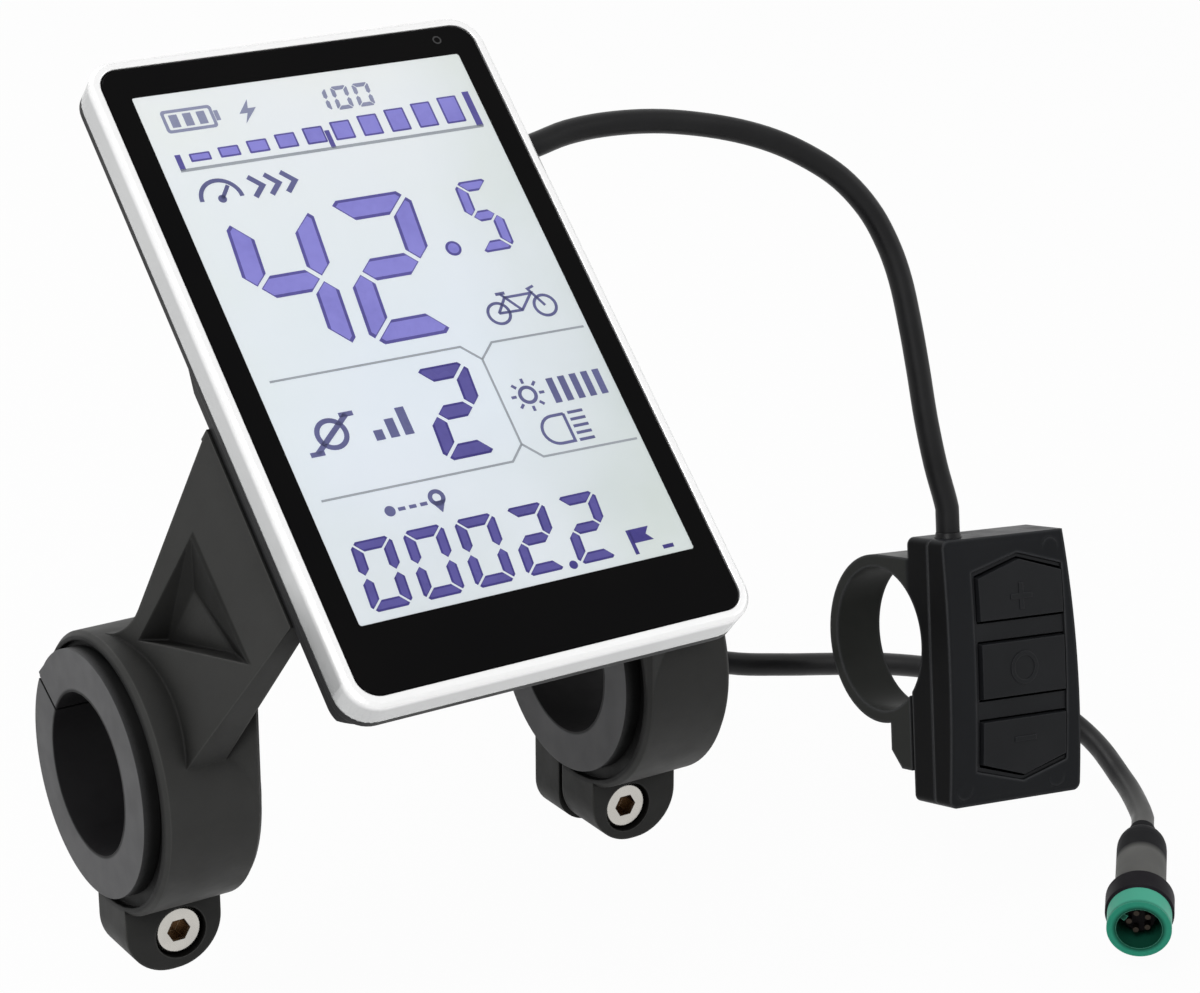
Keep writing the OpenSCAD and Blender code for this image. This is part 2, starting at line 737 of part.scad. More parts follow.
module arm() {
    color(soft_black) difference() {
        union() {
            on_display() difference() {
                intersection() {
                    sideways(casing_side - root_t - over, clamp_out) arm_side();
                    upward(axis_v - 2 * ring_r, 0) arm_front();
                }
                pocket();
            }
            difference() {
                on_display() foot();
                on_display() at_arm_screws() {
                    translate([0, 0, -over]) cylinder(d = arm_screw_d + 2 * screw_play, h = 2 * foot_t);
                    translate([0, 0, foot_t]) cylinder(d = arm_head_d + 2 * screw_play, h = arm_screw_len);
                }
            }
            clamp_ring();
            front_pad();
            ear(clamp_w, -ears_front, 0);
            ear(clamp_w - rear_ear_inset, 0, ears_back);
        }
        rod_x(bore_r, clamp_in - over, clamp_out + over);
        translate([0, -clamp_shift, 0]) {
            rod_x(recess_r, clamp_in - over, clamp_in + recess_t);
            rod_x(recess_r, clamp_out - recess_t, clamp_out + over);
        }
        translate([clamp_in - over, gap_back - ear_gap / 2, -ear_drop - over]) {
            cube([clamp_w + 2 * over, ear_gap, ear_drop]);
        }
        at_clamp_screw() {
            cylinder(d = clamp_screw_d + 2 * screw_play, h = 4 * front_ear_t, center = true);
            translate([0, 0, ears_front - head_sunk]) {
                cylinder(d = clamp_head_d + 2 * screw_play, h = 2 * head_sunk);
            }
            translate([0, 0, -ears_back - over]) {
                cylinder(d = (nut_af + screw_play) / cos(30), h = nut_h + over, $fn = 6);
            }
        }
    }
}

module left_arm() at_x(-1) arm();

module right_arm() arm();

module arm_screws() {
    color(steel) on_display() at_arm_screws() translate([0, 0, foot_t + play]) {
        small_screw(arm_screw_d, arm_screw_len);
    }
}

module clamp_screws() {
    len = ears_front + ears_back - head_sunk - seat;
    color(steel) for (side = [-1, 1]) at_x(side) at_clamp_screw() translate([0, 0, ears_front - head_sunk]) {
        socket_screw(clamp_screw_d, len, clamp_head_d, clamp_head_h);
    }
}

module clamp_nuts() {
    color(steel) for (side = [-1, 1]) at_x(side) at_clamp_screw() translate([0, 0, -ears_back]) {
        hex_nut(clamp_screw_d + 2 * play, nut_af, nut_h);
    }
}

// A split rubber sleeve with a flange at each end, whose corner stands out beside the split
slit_w = 0.5;
slit_turn = 31;
tab_turn = 48;
tab_w = flange_r * tan(tab_turn - slit_turn) - slit_w;

module sleeve() {
    half = clamp_w / 2 - recess_t + play;
    color(rubber) translate([clamp_mid, 0, 0]) difference() {
        union() {
            rod_x(sleeve_r, -half, half);
            for (side = [0, 1]) mirror([side, 0, 0]) {
                rod_x(flange_r, half, half + flange_t);
                rotate([tab_turn, 0, 0]) translate([half + play, bar_r, -tab_w]) {
                    cube([flange_t - 2 * play, flange_r - seat - bar_r, tab_w]);
                }
            }
        }
        rod_x(bar_r, -clamp_w, clamp_w);
        rotate([slit_turn, 0, 0]) translate([-clamp_w, 0, -slit_w / 2]) {
            cube([2 * clamp_w, 2 * sleeve_r, slit_w]);
        }
    }
}

module left_sleeve() at_x(-1) sleeve();

module right_sleeve() sleeve();

// Switch pod, drawn about the axis of its own ring, with the ring's left face at zero
pod_place = [86.5, 1, -10.7];
pod_turn = [-14, 5.5, -2.5];
pod_low = pod_rise - pod_h;
pod_middle = (pod_rise + pod_low) / 2;
pod_edge = 1.2;
side_edge = 1;
saddle_wall = 1.2;
saddle_gap = 0.4;
entry = [4, -pod_split, pod_rise];
entry_r = cable_d / 2 + gland_wall / 2;
ear_top = 9;
ear_low = 19.5;
band_r = bar_r + ring_wall;
band_gap = 0.6;
pod_ear_t = 5.2;
pod_screw_d = 3;
pod_screw_len = 6.6;
pod_head_d = 4.8;
pod_head_h = 2.8;
pod_screw_z = -(band_r + ear_low) / 2;
pod_nut_af = 5.5;
pod_nut_h = 2.4;
nut_front = pod_rear + pod_wall + pod_nut_h;
pod_head_seat = pod_rear + pod_head_h - band_gap - pod_ear_t;
nut_pocket_r = (pod_nut_af + screw_play) / 2 / cos(30);
case_screw_d = 1.8;
case_screw_len = 6;
case_screw_in = 2.6;
case_boss_r = case_screw_d + pod_wall / 2;
cover_boss_r = case_screw_d / 2 + pod_wall / 2;
case_screw_low = pod_low + case_screw_in;
case_screw_high = pod_rise - case_screw_in;

module on_pod() translate(pod_place) rotate(pod_turn) children();

pod_reach = pod_w + pod_side_bulge + over;

// An outline of the pod's face, swept between two distances in front of the ring's axis
module pod_layer(near, far) translate([0, -near, 0]) rotate([90, 0, 0]) linear_extrude(far - near) children();

// The face's outer side is an arc that leaves the bottom corner upright
side_r = (pow(pod_h, 2) + pow(pod_side_bulge, 2)) / (2 * pod_side_bulge);

module pod_face(inset) {
    edge = max(pod_edge - inset, pod_edge / 3);
    wide = pod_w + pod_side_bulge;
    intersection() {
        translate([wide / 2, pod_middle]) rounded(wide - 2 * inset, pod_h - 2 * inset, edge);
        translate([wide - side_r, pod_low]) circle(side_r - inset, $fn = 360);
    }
}

module at_case_screws() {
    for (place = [
        [case_screw_in, case_screw_low], [pod_w - case_screw_in, case_screw_low],
        [pod_w - case_screw_in, case_screw_high]
    ]) translate([place[0], 0, place[1]]) children();
}

module pod_rear_case() {
    color(soft_black) on_pod() difference() {
        union() {
            difference() {
                pod_layer(pod_rear, pod_split) pod_face(0);
                difference() {
                    pod_layer(pod_rear + pod_wall, pod_split + over) pod_face(pod_wall);
                    rod_x(bar_r + saddle_wall, 0, pod_reach);
                }
            }
            rod_x(band_r, 0, ring_w);
            translate([0, -pod_rear - over, ear_top]) cube([ring_w, pod_rear + over, band_r + play - ear_top]);
            translate([0, -pod_rear + band_gap, 0]) rotate([90, 0, 90]) linear_extrude(ring_w) polygon([
                [0, -ear_top], [0, -ear_low], [pod_ear_t / 2, -ear_low],
                [pod_ear_t, -ear_low + pod_ear_t / 2], [pod_ear_t, -ear_top]
            ]);
            translate([0, 0, pod_screw_z]) pod_layer(pod_rear, nut_front + pod_wall / 2) {
                translate([ring_w / 2, 0]) square(pod_nut_af + pod_wall, center = true);
            }
            at_case_screws() pod_layer(pod_rear, pod_split) circle(case_boss_r);
        }
        rod_x(bar_r, -over, ring_w);
        rod_x(bar_r + saddle_gap, ring_w, pod_reach);
        translate([-over, -pod_rear, -ear_low - over]) cube([ring_w + 2 * over, band_gap, ear_low]);
        translate([ring_w / 2, 0, pod_screw_z]) {
            pod_layer(-pod_ear_t, nut_front) circle(pod_screw_d / 2 + screw_play);
            pod_layer(-pod_ear_t - over, pod_head_seat) circle(pod_head_d / 2 + seat);
            pod_layer(pod_rear + pod_wall, nut_front + pod_wall) circle(nut_pocket_r, $fn = 6);
        }
        at_case_screws() {
            pod_layer(pod_rear - over, pod_split + over) circle(case_screw_d / 2 + screw_play);
            pod_layer(pod_rear - over, pod_rear + case_screw_d) circle(case_screw_d * head_d_share / 2 + seat);
        }
        translate(entry) translate([0, 0, -2 * pod_wall]) cylinder(r = entry_r + play, h = 4 * pod_wall);
    }
}

// The keys' outlines stand one over another, the outer two pointing up and down
key_x = pod_w - side_edge - key_w / 2;
key_reach = key_mid_h / 2 + key_gap + key_end_h;
bulge_r = (pow(pod_h / 2, 2) + pow(pod_bulge, 2)) / (2 * pod_bulge);
window_edge = 0.9;
web_lap = 0.3;
web_t = 0.6;
web_sunk = 0.3;
cover_t = 1.4;
web_front = pod_front - cover_t - seat;
web_back = web_front - web_t;
key_front = pod_front + pod_bulge / 3;

module key_outline(row, grow) {
    half = key_w / 2 + grow;
    translate([key_x, pod_middle]) {
        if (row == 0) {
            square([2 * half, key_mid_h + 2 * grow], center = true);
        } else {
            mirror([0, row < 0 ? 1 : 0]) translate([0, key_mid_h / 2 + key_gap]) polygon([
                [-half, -grow], [half, -grow], [half, key_end_h + grow],
                [0, key_end_h + key_tip + grow], [-half, key_end_h + grow]
            ]);
        }
    }
}

// The window's outer side runs close beside the keys
module window_outline(lap) {
    grow = window_edge + lap;
    half = key_w / 2 + grow;
    side = key_w / 2 + key_clear + lap;
    reach = key_reach + grow;
    translate([key_x, pod_middle]) polygon([
        [side, reach], [0, reach + key_tip], [-half, reach], [-half, -reach], [0, -reach - key_tip], [side, -reach]
    ]);
}

module bulged(extra) {
    intersection() {
        translate([0, bulge_r - pod_front - extra, pod_middle]) rod_x(bulge_r, -over, pod_reach, $fn = 360);
        children();
    }
}

module pod_front_cover() {
    color(black) on_pod() difference() {
        union() {
            difference() {
                bulged(0) pod_layer(pod_split + play, pod_front + over) pod_face(0);
                pod_layer(pod_split - over, pod_front - cover_t) pod_face(pod_wall);
            }
            at_case_screws() pod_layer(pod_split + play, pod_front - cover_t / 2) circle(cover_boss_r);
        }
        pod_layer(web_front, pod_front + 2 * over) window_outline(0);
        at_case_screws() pod_layer(pod_split - over, pod_front - cover_t) circle(case_screw_d / 2);
        translate(entry) translate([0, 0, -2 * pod_wall]) cylinder(r = entry_r + play, h = 4 * pod_wall);
    }
}

// The web has a flange behind the window and fills the window round the keys
module keypad_web() {
    color(soft_black) on_pod() difference() {
        union() {
            pod_layer(web_back, web_front) intersection() {
                window_outline(web_lap);
                pod_face(pod_wall + seat);
            }
            bulged(-web_sunk) pod_layer(web_back, pod_front + over) window_outline(-play);
        }
        pod_layer(web_back - over, pod_front + 2 * over) for (row = [-1, 0, 1]) key_outline(row, key_clear);
    }
}

// A key has a bevelled top, follows the pod's curved front, and ends in a nub over its switch
stem_r = 1.5;
nub_len = 0.25;
switch_w = 6;
switch_t = 1.6;
pod_board_t = 1;
pod_board_back = bar_r + saddle_wall + seat;
pod_board_front = pod_board_back + pod_board_t;
switch_front = pod_board_front + switch_t;
stem_out = 0.5;
stem_front = switch_front + stem_out;
stem_back = pod_board_front + key_travel + 3 * play;
key_back = stem_front + play + nub_len;

function key_z(row) = pod_middle + row * (key_mid_h / 2 + key_gap + key_end_h / 2);

module key(row) {
    bevel = key_clear;
    color(black) on_pod() {
        bulged(pod_bulge / 3) hull() {
            pod_layer(key_back, key_front - pod_bulge) key_outline(row, 0);
            pod_layer(key_back, key_front + pod_bulge) key_outline(row, -bevel);
        }
        translate([key_x, 0, key_z(row)]) pod_layer(stem_front + play, key_back + seat) circle(stem_r);
    }
}

module stem(row) {
    color(rubber) on_pod() translate([key_x, 0, key_z(row)]) pod_layer(stem_back, stem_front) circle(stem_r);
}

module key_up() key(1);

module key_mode() key(0);

module key_down() key(-1);

module stem_up() stem(1);

module stem_mode() stem(0);

module stem_down() stem(-1);

module switch_bodies() {
    color(steel) on_pod() for (row = [-1, 0, 1]) translate([key_x, 0, key_z(row)]) difference() {
        pod_layer(pod_board_front, switch_front) square(switch_w, center = true);
        pod_layer(pod_board_front + play, switch_front + over) circle(stem_r + seat);
    }
}

module pod_board() {
    left = ring_w + seat;
    color(board_green) on_pod() pod_layer(pod_board_back, pod_board_front) {
        translate([left, pod_middle - key_reach]) square([key_x + key_w / 2 - left, 2 * key_reach]);
    }
}

module pod_case_screws() {
    color(steel) on_pod() at_case_screws() translate([0, -pod_rear - case_screw_d, 0]) rotate([-90, 0, 0]) {
        small_screw(case_screw_d, case_screw_len);
    }
}

module pod_clamp_screw() {
    color(steel) on_pod() translate([ring_w / 2, -pod_head_seat, pod_screw_z]) rotate([-90, 0, 0]) {
        socket_screw(pod_screw_d, pod_screw_len, pod_head_d, pod_head_h);
    }
}

module pod_clamp_nut() {
    color(steel) on_pod() translate([ring_w / 2, -nut_front - play, pod_screw_z]) rotate([-90, 0, 0]) {
        hex_nut(pod_screw_d + 2 * play, pod_nut_af, pod_nut_h);
    }
}

grommet_len = 0.8;

module pod_grommet() {
    color(rubber) on_pod() translate(entry) rotate_extrude() polygon([
        [0, -pod_wall - grommet_len], [gland_r, -pod_wall - grommet_len], [gland_r, -pod_wall],
        [entry_r, -pod_wall], [entry_r, 0], [cable_d / 2 + play, grommet_len], [0, grommet_len]
    ]);
}

// Cables. Between its straight ends each follows a hand-laid route in round numbers
pod_route = [
    [10.8, 15.4, 65.4], [13.5, 18, 67.4], [19, 19.6, 68.8], [27, 20, 69.4], [35, 20, 69.4], [42.8, 20.8, 70.6],
    [50.6, 21, 70.8], [59, 20.2, 70.2], [68, 19, 68.4], [75, 17, 66.2], [80.5, 14.6, 63.4], [85.2, 12, 59.8],
    [88.6, 9.4, 55.2], [90.5, 7, 50.2], [91.3, 4.6, 45], [91.4, 2, 38.6], [91.2, -0.6, 32], [91, -3, 25.4],
    [91.4, -5.2, 18.6]
];
main_route = [
    [8.4, 4, 25.6], [10, 10, 19.4], [14, 17, 12.8], [20, 22.2, 7], [28, 25, 1.8], [38, 25.8, -3.8], [48, 25, -8.4],
    [60, 23, -14], [72, 20.8, -18.4], [82, 20.2, -20.8], [92, 20.2, -23], [102, 20.6, -25.4],
    [112, 20.8, -28.4], [121.6, 20.8, -31.8], [128.6, 20.2, -34.8], [133, 18.4, -37.6], [135.6, 15.6, -39.6],
    [136.7, 12, -41], [136.7, 8.2, -41.9], [136, 4.4, -42.5], [134.8, 0.6, -43], [133.4, -3.4, -43.6],
    [131.8, -7.7, -44.1], [129.8, -12, -44.6]
];
cable_sides = 8;
spoke_hint = [10, 2, 1];
plug_front = [106.4, -39.3, -48.5];
plug_heading = 42.2;
plug_dip = 6.3;

function unit(v) = v / norm(v);

function heading(route, i) = unit(route[min(i + 1, len(route) - 1)] - route[max(i - 1, 0)]);

// Each ring's first spoke is the ring before's, turned only as far as the route turns
function spokes(headings, i = 0, last = [0, 0, 1]) =
    let (t = headings[i], s = unit(last - (last * t) * t))
    i == len(headings) - 1 ? [s] : concat([s], spokes(headings, i + 1, s));

module cable(route, first, last) {
    count = len(route);
    headings = [for (i = [0:count - 1]) i == 0 ? first : i == count - 1 ? last : heading(route, i)];
    side = spokes(headings, 0, unit(cross(first, spoke_hint)));
    rings = [for (i = [0:count - 1], k = [0:cable_sides - 1])
        let (a = 360 * k / cable_sides)
        route[i] + cable_d / 2 * (cos(a) * side[i] + sin(a) * cross(headings[i], side[i]))
    ];
    skin = [for (i = [0:count - 2], k = [0:cable_sides - 1])
        let (a = i * cable_sides + k, b = i * cable_sides + (k + 1) % cable_sides)
        each [[a, b + cable_sides, b], [a, a + cable_sides, b + cable_sides]]
    ];
    start = [for (k = [0:cable_sides - 1]) k];
    end = [for (k = [cable_sides - 1:-1:0]) (count - 1) * cable_sides + k];
    polyhedron(rings, concat([start], skin, [end]));
}

function about_x(v, a) = [v[0], v[1] * cos(a) - v[2] * sin(a), v[1] * sin(a) + v[2] * cos(a)];

function about_y(v, a) = [v[0] * cos(a) + v[2] * sin(a), v[1], v[2] * cos(a) - v[0] * sin(a)];

function about_z(v, a) = [v[0] * cos(a) - v[1] * sin(a), v[0] * sin(a) + v[1] * cos(a), v[2]];

function pod_turned(v) = about_z(about_y(about_x(v, pod_turn[0]), pod_turn[1]), pod_turn[2]);

face_up = screen_point(0, 1, 0) - screen_point(0, 0, 0);
face_in = screen_point(0, 0, 1) - screen_point(0, 0, 0);
pod_up = pod_turned([0, 0, 1]);
plug_aim = [-sin(plug_heading) * cos(plug_dip), -cos(plug_heading) * cos(plug_dip), -sin(plug_dip)];
pod_cable_start = screen_point(pod_exit_x, hump_top + gland_len, exit_depth);
pod_cable_end = pod_place + pod_turned(entry + [0, 0, grommet_len]);
main_cable_start = screen_point(main_exit[0], main_exit[1], hump_back + gland_len);
main_cable_end = plug_front - plug_len * plug_aim;

// A cable leaves its first end and reaches its last one straight, for the length of one diameter
function with_ends(start, first, route, last, end) = concat(
    [start, start + cable_d * first], route, [end - cable_d * last, end]
);

module pod_cable() {
    route = with_ends(pod_cable_start, face_up, pod_route, -pod_up, pod_cable_end);
    color(soft_black) cable(route, face_up, -pod_up);
}

module main_cable() {
    route = with_ends(main_cable_start, face_in, main_route, plug_aim, main_cable_end);
    color(soft_black) cable(route, face_in, plug_aim);
}

// Connector, drawn with its open face at zero and its rear end below
module on_plug() translate(plug_front) rotate([90 + plug_dip, 0, -plug_heading]) children();

collar_front = 4;
collar_wall = 0.9;
collar_back = 8.6;
collar_bevel = 0.4;
lip_t = 1.2;
shroud_back = collar_back - lip_t;
socket_t = 6.4;
neck_back = 13.4;
dome_len = 3.6;
dome_step = 15;
boot_r = cable_d / 2 + gland_wall / 2;
boot_len = 2.4;
pin_short = 2;
insert_t = 3.2;
collar_in = collar_d / 2 - collar_wall;
neck_r = (collar_in + plug_d / 2) / 2;
key_turn = 145;
key_rib = 1;
pin_d = 0.9;
pin_count = 5;

module connector_boot() {
    shoulder = plug_len - boot_len;
    color(soft_black) on_plug() rotate_extrude() polygon(concat(
        [[0, -plug_len], [boot_r, -plug_len], [boot_r, -shoulder]],
        [for (a = [0:dome_step:90])
            [boot_r + (plug_d / 2 - boot_r) * sin(a), -shoulder + dome_len * (1 - cos(a))]],
        [[plug_d / 2, -neck_back], [neck_r, -collar_back - play], [neck_r, -shroud_back - play],
            [0, -shroud_back - play]]
    ));
}

module connector_collar() {
    color(black) on_plug() rotate_extrude() polygon([
        [collar_in + play, -collar_front], [collar_d / 2 - collar_bevel, -collar_front],
        [collar_d / 2, -collar_front - collar_bevel], [collar_d / 2, -collar_back + collar_bevel],
        [collar_d / 2 - collar_bevel, -collar_back], [neck_r + play, -collar_back],
        [neck_r + play, -shroud_back - play], [collar_in + play, -shroud_back - play]
    ]);
}

module connector_shroud() {
    color(teal) on_plug() {
        difference() {
            rotate_extrude() polygon([
                [0, -shroud_back], [collar_in, -shroud_back], [collar_in, -collar_front + play],
                [shroud_d / 2, -collar_front + play], [shroud_d / 2, 0], [0, 0]
            ]);
            translate([0, 0, -socket_t]) cylinder(d = socket_d, h = socket_t + over);
        }
        rotate(key_turn) translate([socket_d / 2 - key_rib, -key_rib / 2, -socket_t]) {
            cube([key_rib + seat, key_rib, socket_t - key_rib / 2]);
        }
    }
}

module connector_insert() {
    color(black) on_plug() difference() {
        translate([0, 0, -socket_t]) cylinder(d = socket_d - 2 * key_rib - 2 * seat, h = insert_t);
        at_pins() translate([0, 0, -socket_t - over]) cylinder(d = pin_d + 2 * play, h = insert_t + 2 * over);
    }
}

module at_pins() {
    circle_d = socket_d * 0.45;
    for (i = [0:pin_count - 1]) {
        rotate(key_turn + (i + 1 / 2) * 360 / pin_count) translate([circle_d / 2, 0, 0]) children();
    }
}

module connector_pins() {
    color(brass) on_plug() at_pins() translate([0, 0, -socket_t]) cylinder(d = pin_d, h = socket_t - pin_short);
}

front_glass();
glass_tape();
bezel();
front_film();
lcd_panel();
light_guide();
backlight_tray();
lcd_flex();
rear_housing();
housing_seal();
housing_screws();
main_board();
board_screws();
processor();
capacitors();
cable_headers();
pod_cable_gland();
main_cable_gland();
left_arm();
right_arm();
arm_screws();
left_sleeve();
right_sleeve();
clamp_screws();
clamp_nuts();
pod_rear_case();
pod_front_cover();
keypad_web();
key_up();
key_mode();
key_down();
stem_up();
stem_mode();
stem_down();
switch_bodies();
pod_board();
pod_case_screws();
pod_clamp_screw();
pod_clamp_nut();
pod_grommet();
pod_cable();
main_cable();
connector_boot();
connector_collar();
connector_shroud();
connector_insert();
connector_pins();
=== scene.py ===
"""Looks of the handlebar display: camera, cables, screen picture, key signs, materials and studio."""

import math

import bmesh
import bpy
from mathutils import Euler, Matrix, Vector
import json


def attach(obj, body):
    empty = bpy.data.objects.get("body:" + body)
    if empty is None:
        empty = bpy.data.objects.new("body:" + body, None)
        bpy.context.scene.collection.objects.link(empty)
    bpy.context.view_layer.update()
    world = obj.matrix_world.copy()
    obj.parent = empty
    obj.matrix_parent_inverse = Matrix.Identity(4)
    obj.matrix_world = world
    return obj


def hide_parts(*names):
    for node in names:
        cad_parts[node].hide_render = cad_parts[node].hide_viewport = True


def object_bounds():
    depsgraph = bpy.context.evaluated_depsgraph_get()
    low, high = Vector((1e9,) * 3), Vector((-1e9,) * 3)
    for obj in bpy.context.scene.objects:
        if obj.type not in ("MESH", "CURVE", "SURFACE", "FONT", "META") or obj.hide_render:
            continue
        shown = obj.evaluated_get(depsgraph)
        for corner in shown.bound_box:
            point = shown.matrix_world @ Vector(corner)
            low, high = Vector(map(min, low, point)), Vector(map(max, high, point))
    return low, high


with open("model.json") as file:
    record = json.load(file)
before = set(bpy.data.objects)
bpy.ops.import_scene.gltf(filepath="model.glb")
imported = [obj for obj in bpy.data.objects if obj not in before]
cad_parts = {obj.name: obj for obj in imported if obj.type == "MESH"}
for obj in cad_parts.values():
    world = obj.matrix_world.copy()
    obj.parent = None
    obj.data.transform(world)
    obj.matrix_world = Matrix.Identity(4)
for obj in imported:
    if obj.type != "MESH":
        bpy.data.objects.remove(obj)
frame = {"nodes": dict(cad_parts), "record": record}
cad_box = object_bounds()

MM = 0.001
BODY = "bracket"


def placed(place, turn):
    """The matrix of a place in millimetres and a turn about x, y and z in degrees."""
    turned = Euler([math.radians(a) for a in turn]).to_matrix().to_4x4()
    return Matrix.Translation(Vector(place) * MM) @ turned


# Places of the screen, the switch pod and the plug's open face, and the directions that they give
SCREEN_MIDDLE = (0, -10.7, 55.4)
POD_CORNER = (86.5, 1, -10.7)
PLUG_FACE = (106.4, -39.3, -48.5)
DISPLAY = placed(SCREEN_MIDDLE, (42.7, 0, 0))
POD = placed(POD_CORNER, (-14, 5.5, -2.5))
PLUG = placed(PLUG_FACE, (96.3, 0, -42.2))
BAR = Vector((1, 0, 0))
SCREEN_UP = DISPLAY.to_3x3() @ Vector((0, 1, 0))
SCREEN_OUT = DISPLAY.to_3x3() @ Vector((0, 0, 1))
POD_SIDE = POD.to_3x3() @ Vector((-1, 0, 0))
POD_FORWARD = POD.to_3x3() @ Vector((0, -1, 0))
PLUG_BACK = PLUG.to_3x3() @ Vector((0, 0, -1))

# Camera, with its place in millimetres
CAMERA_PLACE = (-205.68, -373.42, 185.78)
CAMERA_LOOK = (0.5087, 0.7892, -0.3439)
CAMERA_LENS, CAMERA_SENSOR = 100.07, 36


def aim(obj, direction):
    obj.rotation_mode = "QUATERNION"
    obj.rotation_quaternion = Vector(direction).to_track_quat("-Z", "Y")


camera = bpy.data.objects.new("camera", bpy.data.cameras.new("camera"))
bpy.context.scene.collection.objects.link(camera)
camera.location = Vector(CAMERA_PLACE) * MM
aim(camera, CAMERA_LOOK)
camera.data.lens = CAMERA_LENS
camera.data.sensor_width = CAMERA_SENSOR
camera.data.clip_start = 0.01
bpy.context.scene.camera = camera


# Mesh tools
def mesh_object(name, verts, faces, smooth=None):
    """A new object from points in metres. Edges are shaded round up to an angle of smooth degrees."""
    mesh = bpy.data.meshes.new(name)
    mesh.from_pydata([tuple(v) for v in verts], [], faces)
    built = bmesh.new()
    built.from_mesh(mesh)
    bmesh.ops.recalc_face_normals(built, faces=built.faces)
    built.to_mesh(mesh)
    built.free()
    if smooth:
        mesh.polygons.foreach_set("use_smooth", [True] * len(mesh.polygons))
        mesh.set_sharp_from_angle(angle=math.radians(smooth))
    obj = bpy.data.objects.new(name, mesh)
    bpy.context.scene.collection.objects.link(obj)
    return obj


def lofted(rings, closed_ends=True):
    """Faces between rings of equal counts, with a cap on each end."""
    count = len(rings[0])
    verts = [v for ring in rings for v in ring]
    faces = []
    for i in range(len(rings) - 1):
        for k in range(count):
            a, b = i * count + k, i * count + (k + 1) % count
            faces.append((a, b, b + count, a + count))
    if closed_ends:
        faces.append(tuple(range(count))[::-1])
        faces.append(tuple((len(rings) - 1) * count + k for k in range(count)))
    else:
        last = (len(rings) - 1) * count
        faces += [(last + k, last + (k + 1) % count, (k + 1) % count, k) for k in range(count)]
    return verts, faces


# Points of a line that are nearer than this, in millimetres, are one point
SAME_POINT = 1e-6


class Plates:
    """Collects flat closed shapes that lie on one plane, and makes one object of them."""

    def __init__(self, place, top, bottom):
        self.place = place
        self.middle = (0, 0)
        self.top = top
        self.bottom = bottom
        self.verts = []
        self.faces = []

    def add(self, rings, closed_ends):
        verts, faces = lofted(rings, closed_ends)
        start = len(self.verts)
        self.verts += verts
        self.faces += [tuple(start + k for k in face) for face in faces]

    def at(self, points, height):
        return [self.place @ (Vector((x, y, height)) * MM) for x, y in points]

    def moved(self, points):
        """The points about the middle that draw() has set."""
        return [(x + self.middle[0], y + self.middle[1]) for x, y in points]

    def shape(self, points):
        points = self.moved(points)
        self.add([self.at(points, self.bottom), self.at(points, self.top)], True)

    def box(self, x, y, w, h):
        """A rectangle about its middle."""
        left, right, low, high = x - w / 2, x + w / 2, y - h / 2, y + h / 2
        self.shape([(left, low), (right, low), (right, high), (left, high)])

    def frame_of(self, outer, inner):
        """A closed band between two outlines of equal counts."""
        outer, inner = self.moved(outer), self.moved(inner)
        rings = [
            self.at(outer, self.bottom), self.at(outer, self.top),
            self.at(inner, self.top), self.at(inner, self.bottom),
        ]
        self.add(rings, False)

    def line(self, points, width):
        """A line with mitred corners."""
        left, right = [], []
        for i, p in enumerate(points):
            before = Vector(p) - Vector(points[max(i - 1, 0)])
            after = Vector(points[min(i + 1, len(points) - 1)]) - Vector(p)
            heads = [v.normalized() for v in (before, after) if v.length > SAME_POINT]
            head = (heads[0] + heads[-1]).normalized()
            side = Vector((-head.y, head.x)) * width / 2 / max(0.3, head.dot(heads[0]))
            left.append(tuple(Vector(p) + side))
            right.append(tuple(Vector(p) - side))
        self.shape(left + right[::-1])

    def disc(self, x, y, r):
        self.shape(circle(x, y, r))

    def ring(self, x, y, r, width):
        self.frame_of(circle(x, y, r + width / 2), circle(x, y, r - width / 2))

    def draw(self, figure, x, y):
        """Adds a figure, which is a function that draws about zero, at a place of its own."""
        self.middle = (x, y)
        figure(self)
        self.middle = (0, 0)

    def made(self, name, smooth=None):
        return mesh_object(name, self.verts, self.faces, smooth)


def circle(x, y, r, count=32, start=0, turn=360):
    """Points of a circle, or of an arc with both its ends."""
    whole = turn == 360
    steps = [start + turn * k / (count if whole else count - 1) for k in range(count)]
    return [(x + r * math.cos(math.radians(a)), y + r * math.sin(math.radians(a))) for a in steps]


def rounded(w, h, r, x=0, y=0, count=8):
    """Outline of a rectangle with round corners, about its middle."""
    points = []
    for turn, sx, sy in ((0, 1, 1), (90, -1, 1), (180, -1, -1), (270, 1, -1)):
        points += circle(x + sx * (w / 2 - r), y + sy * (h / 2 - r), r, count, turn, 90)
    return points


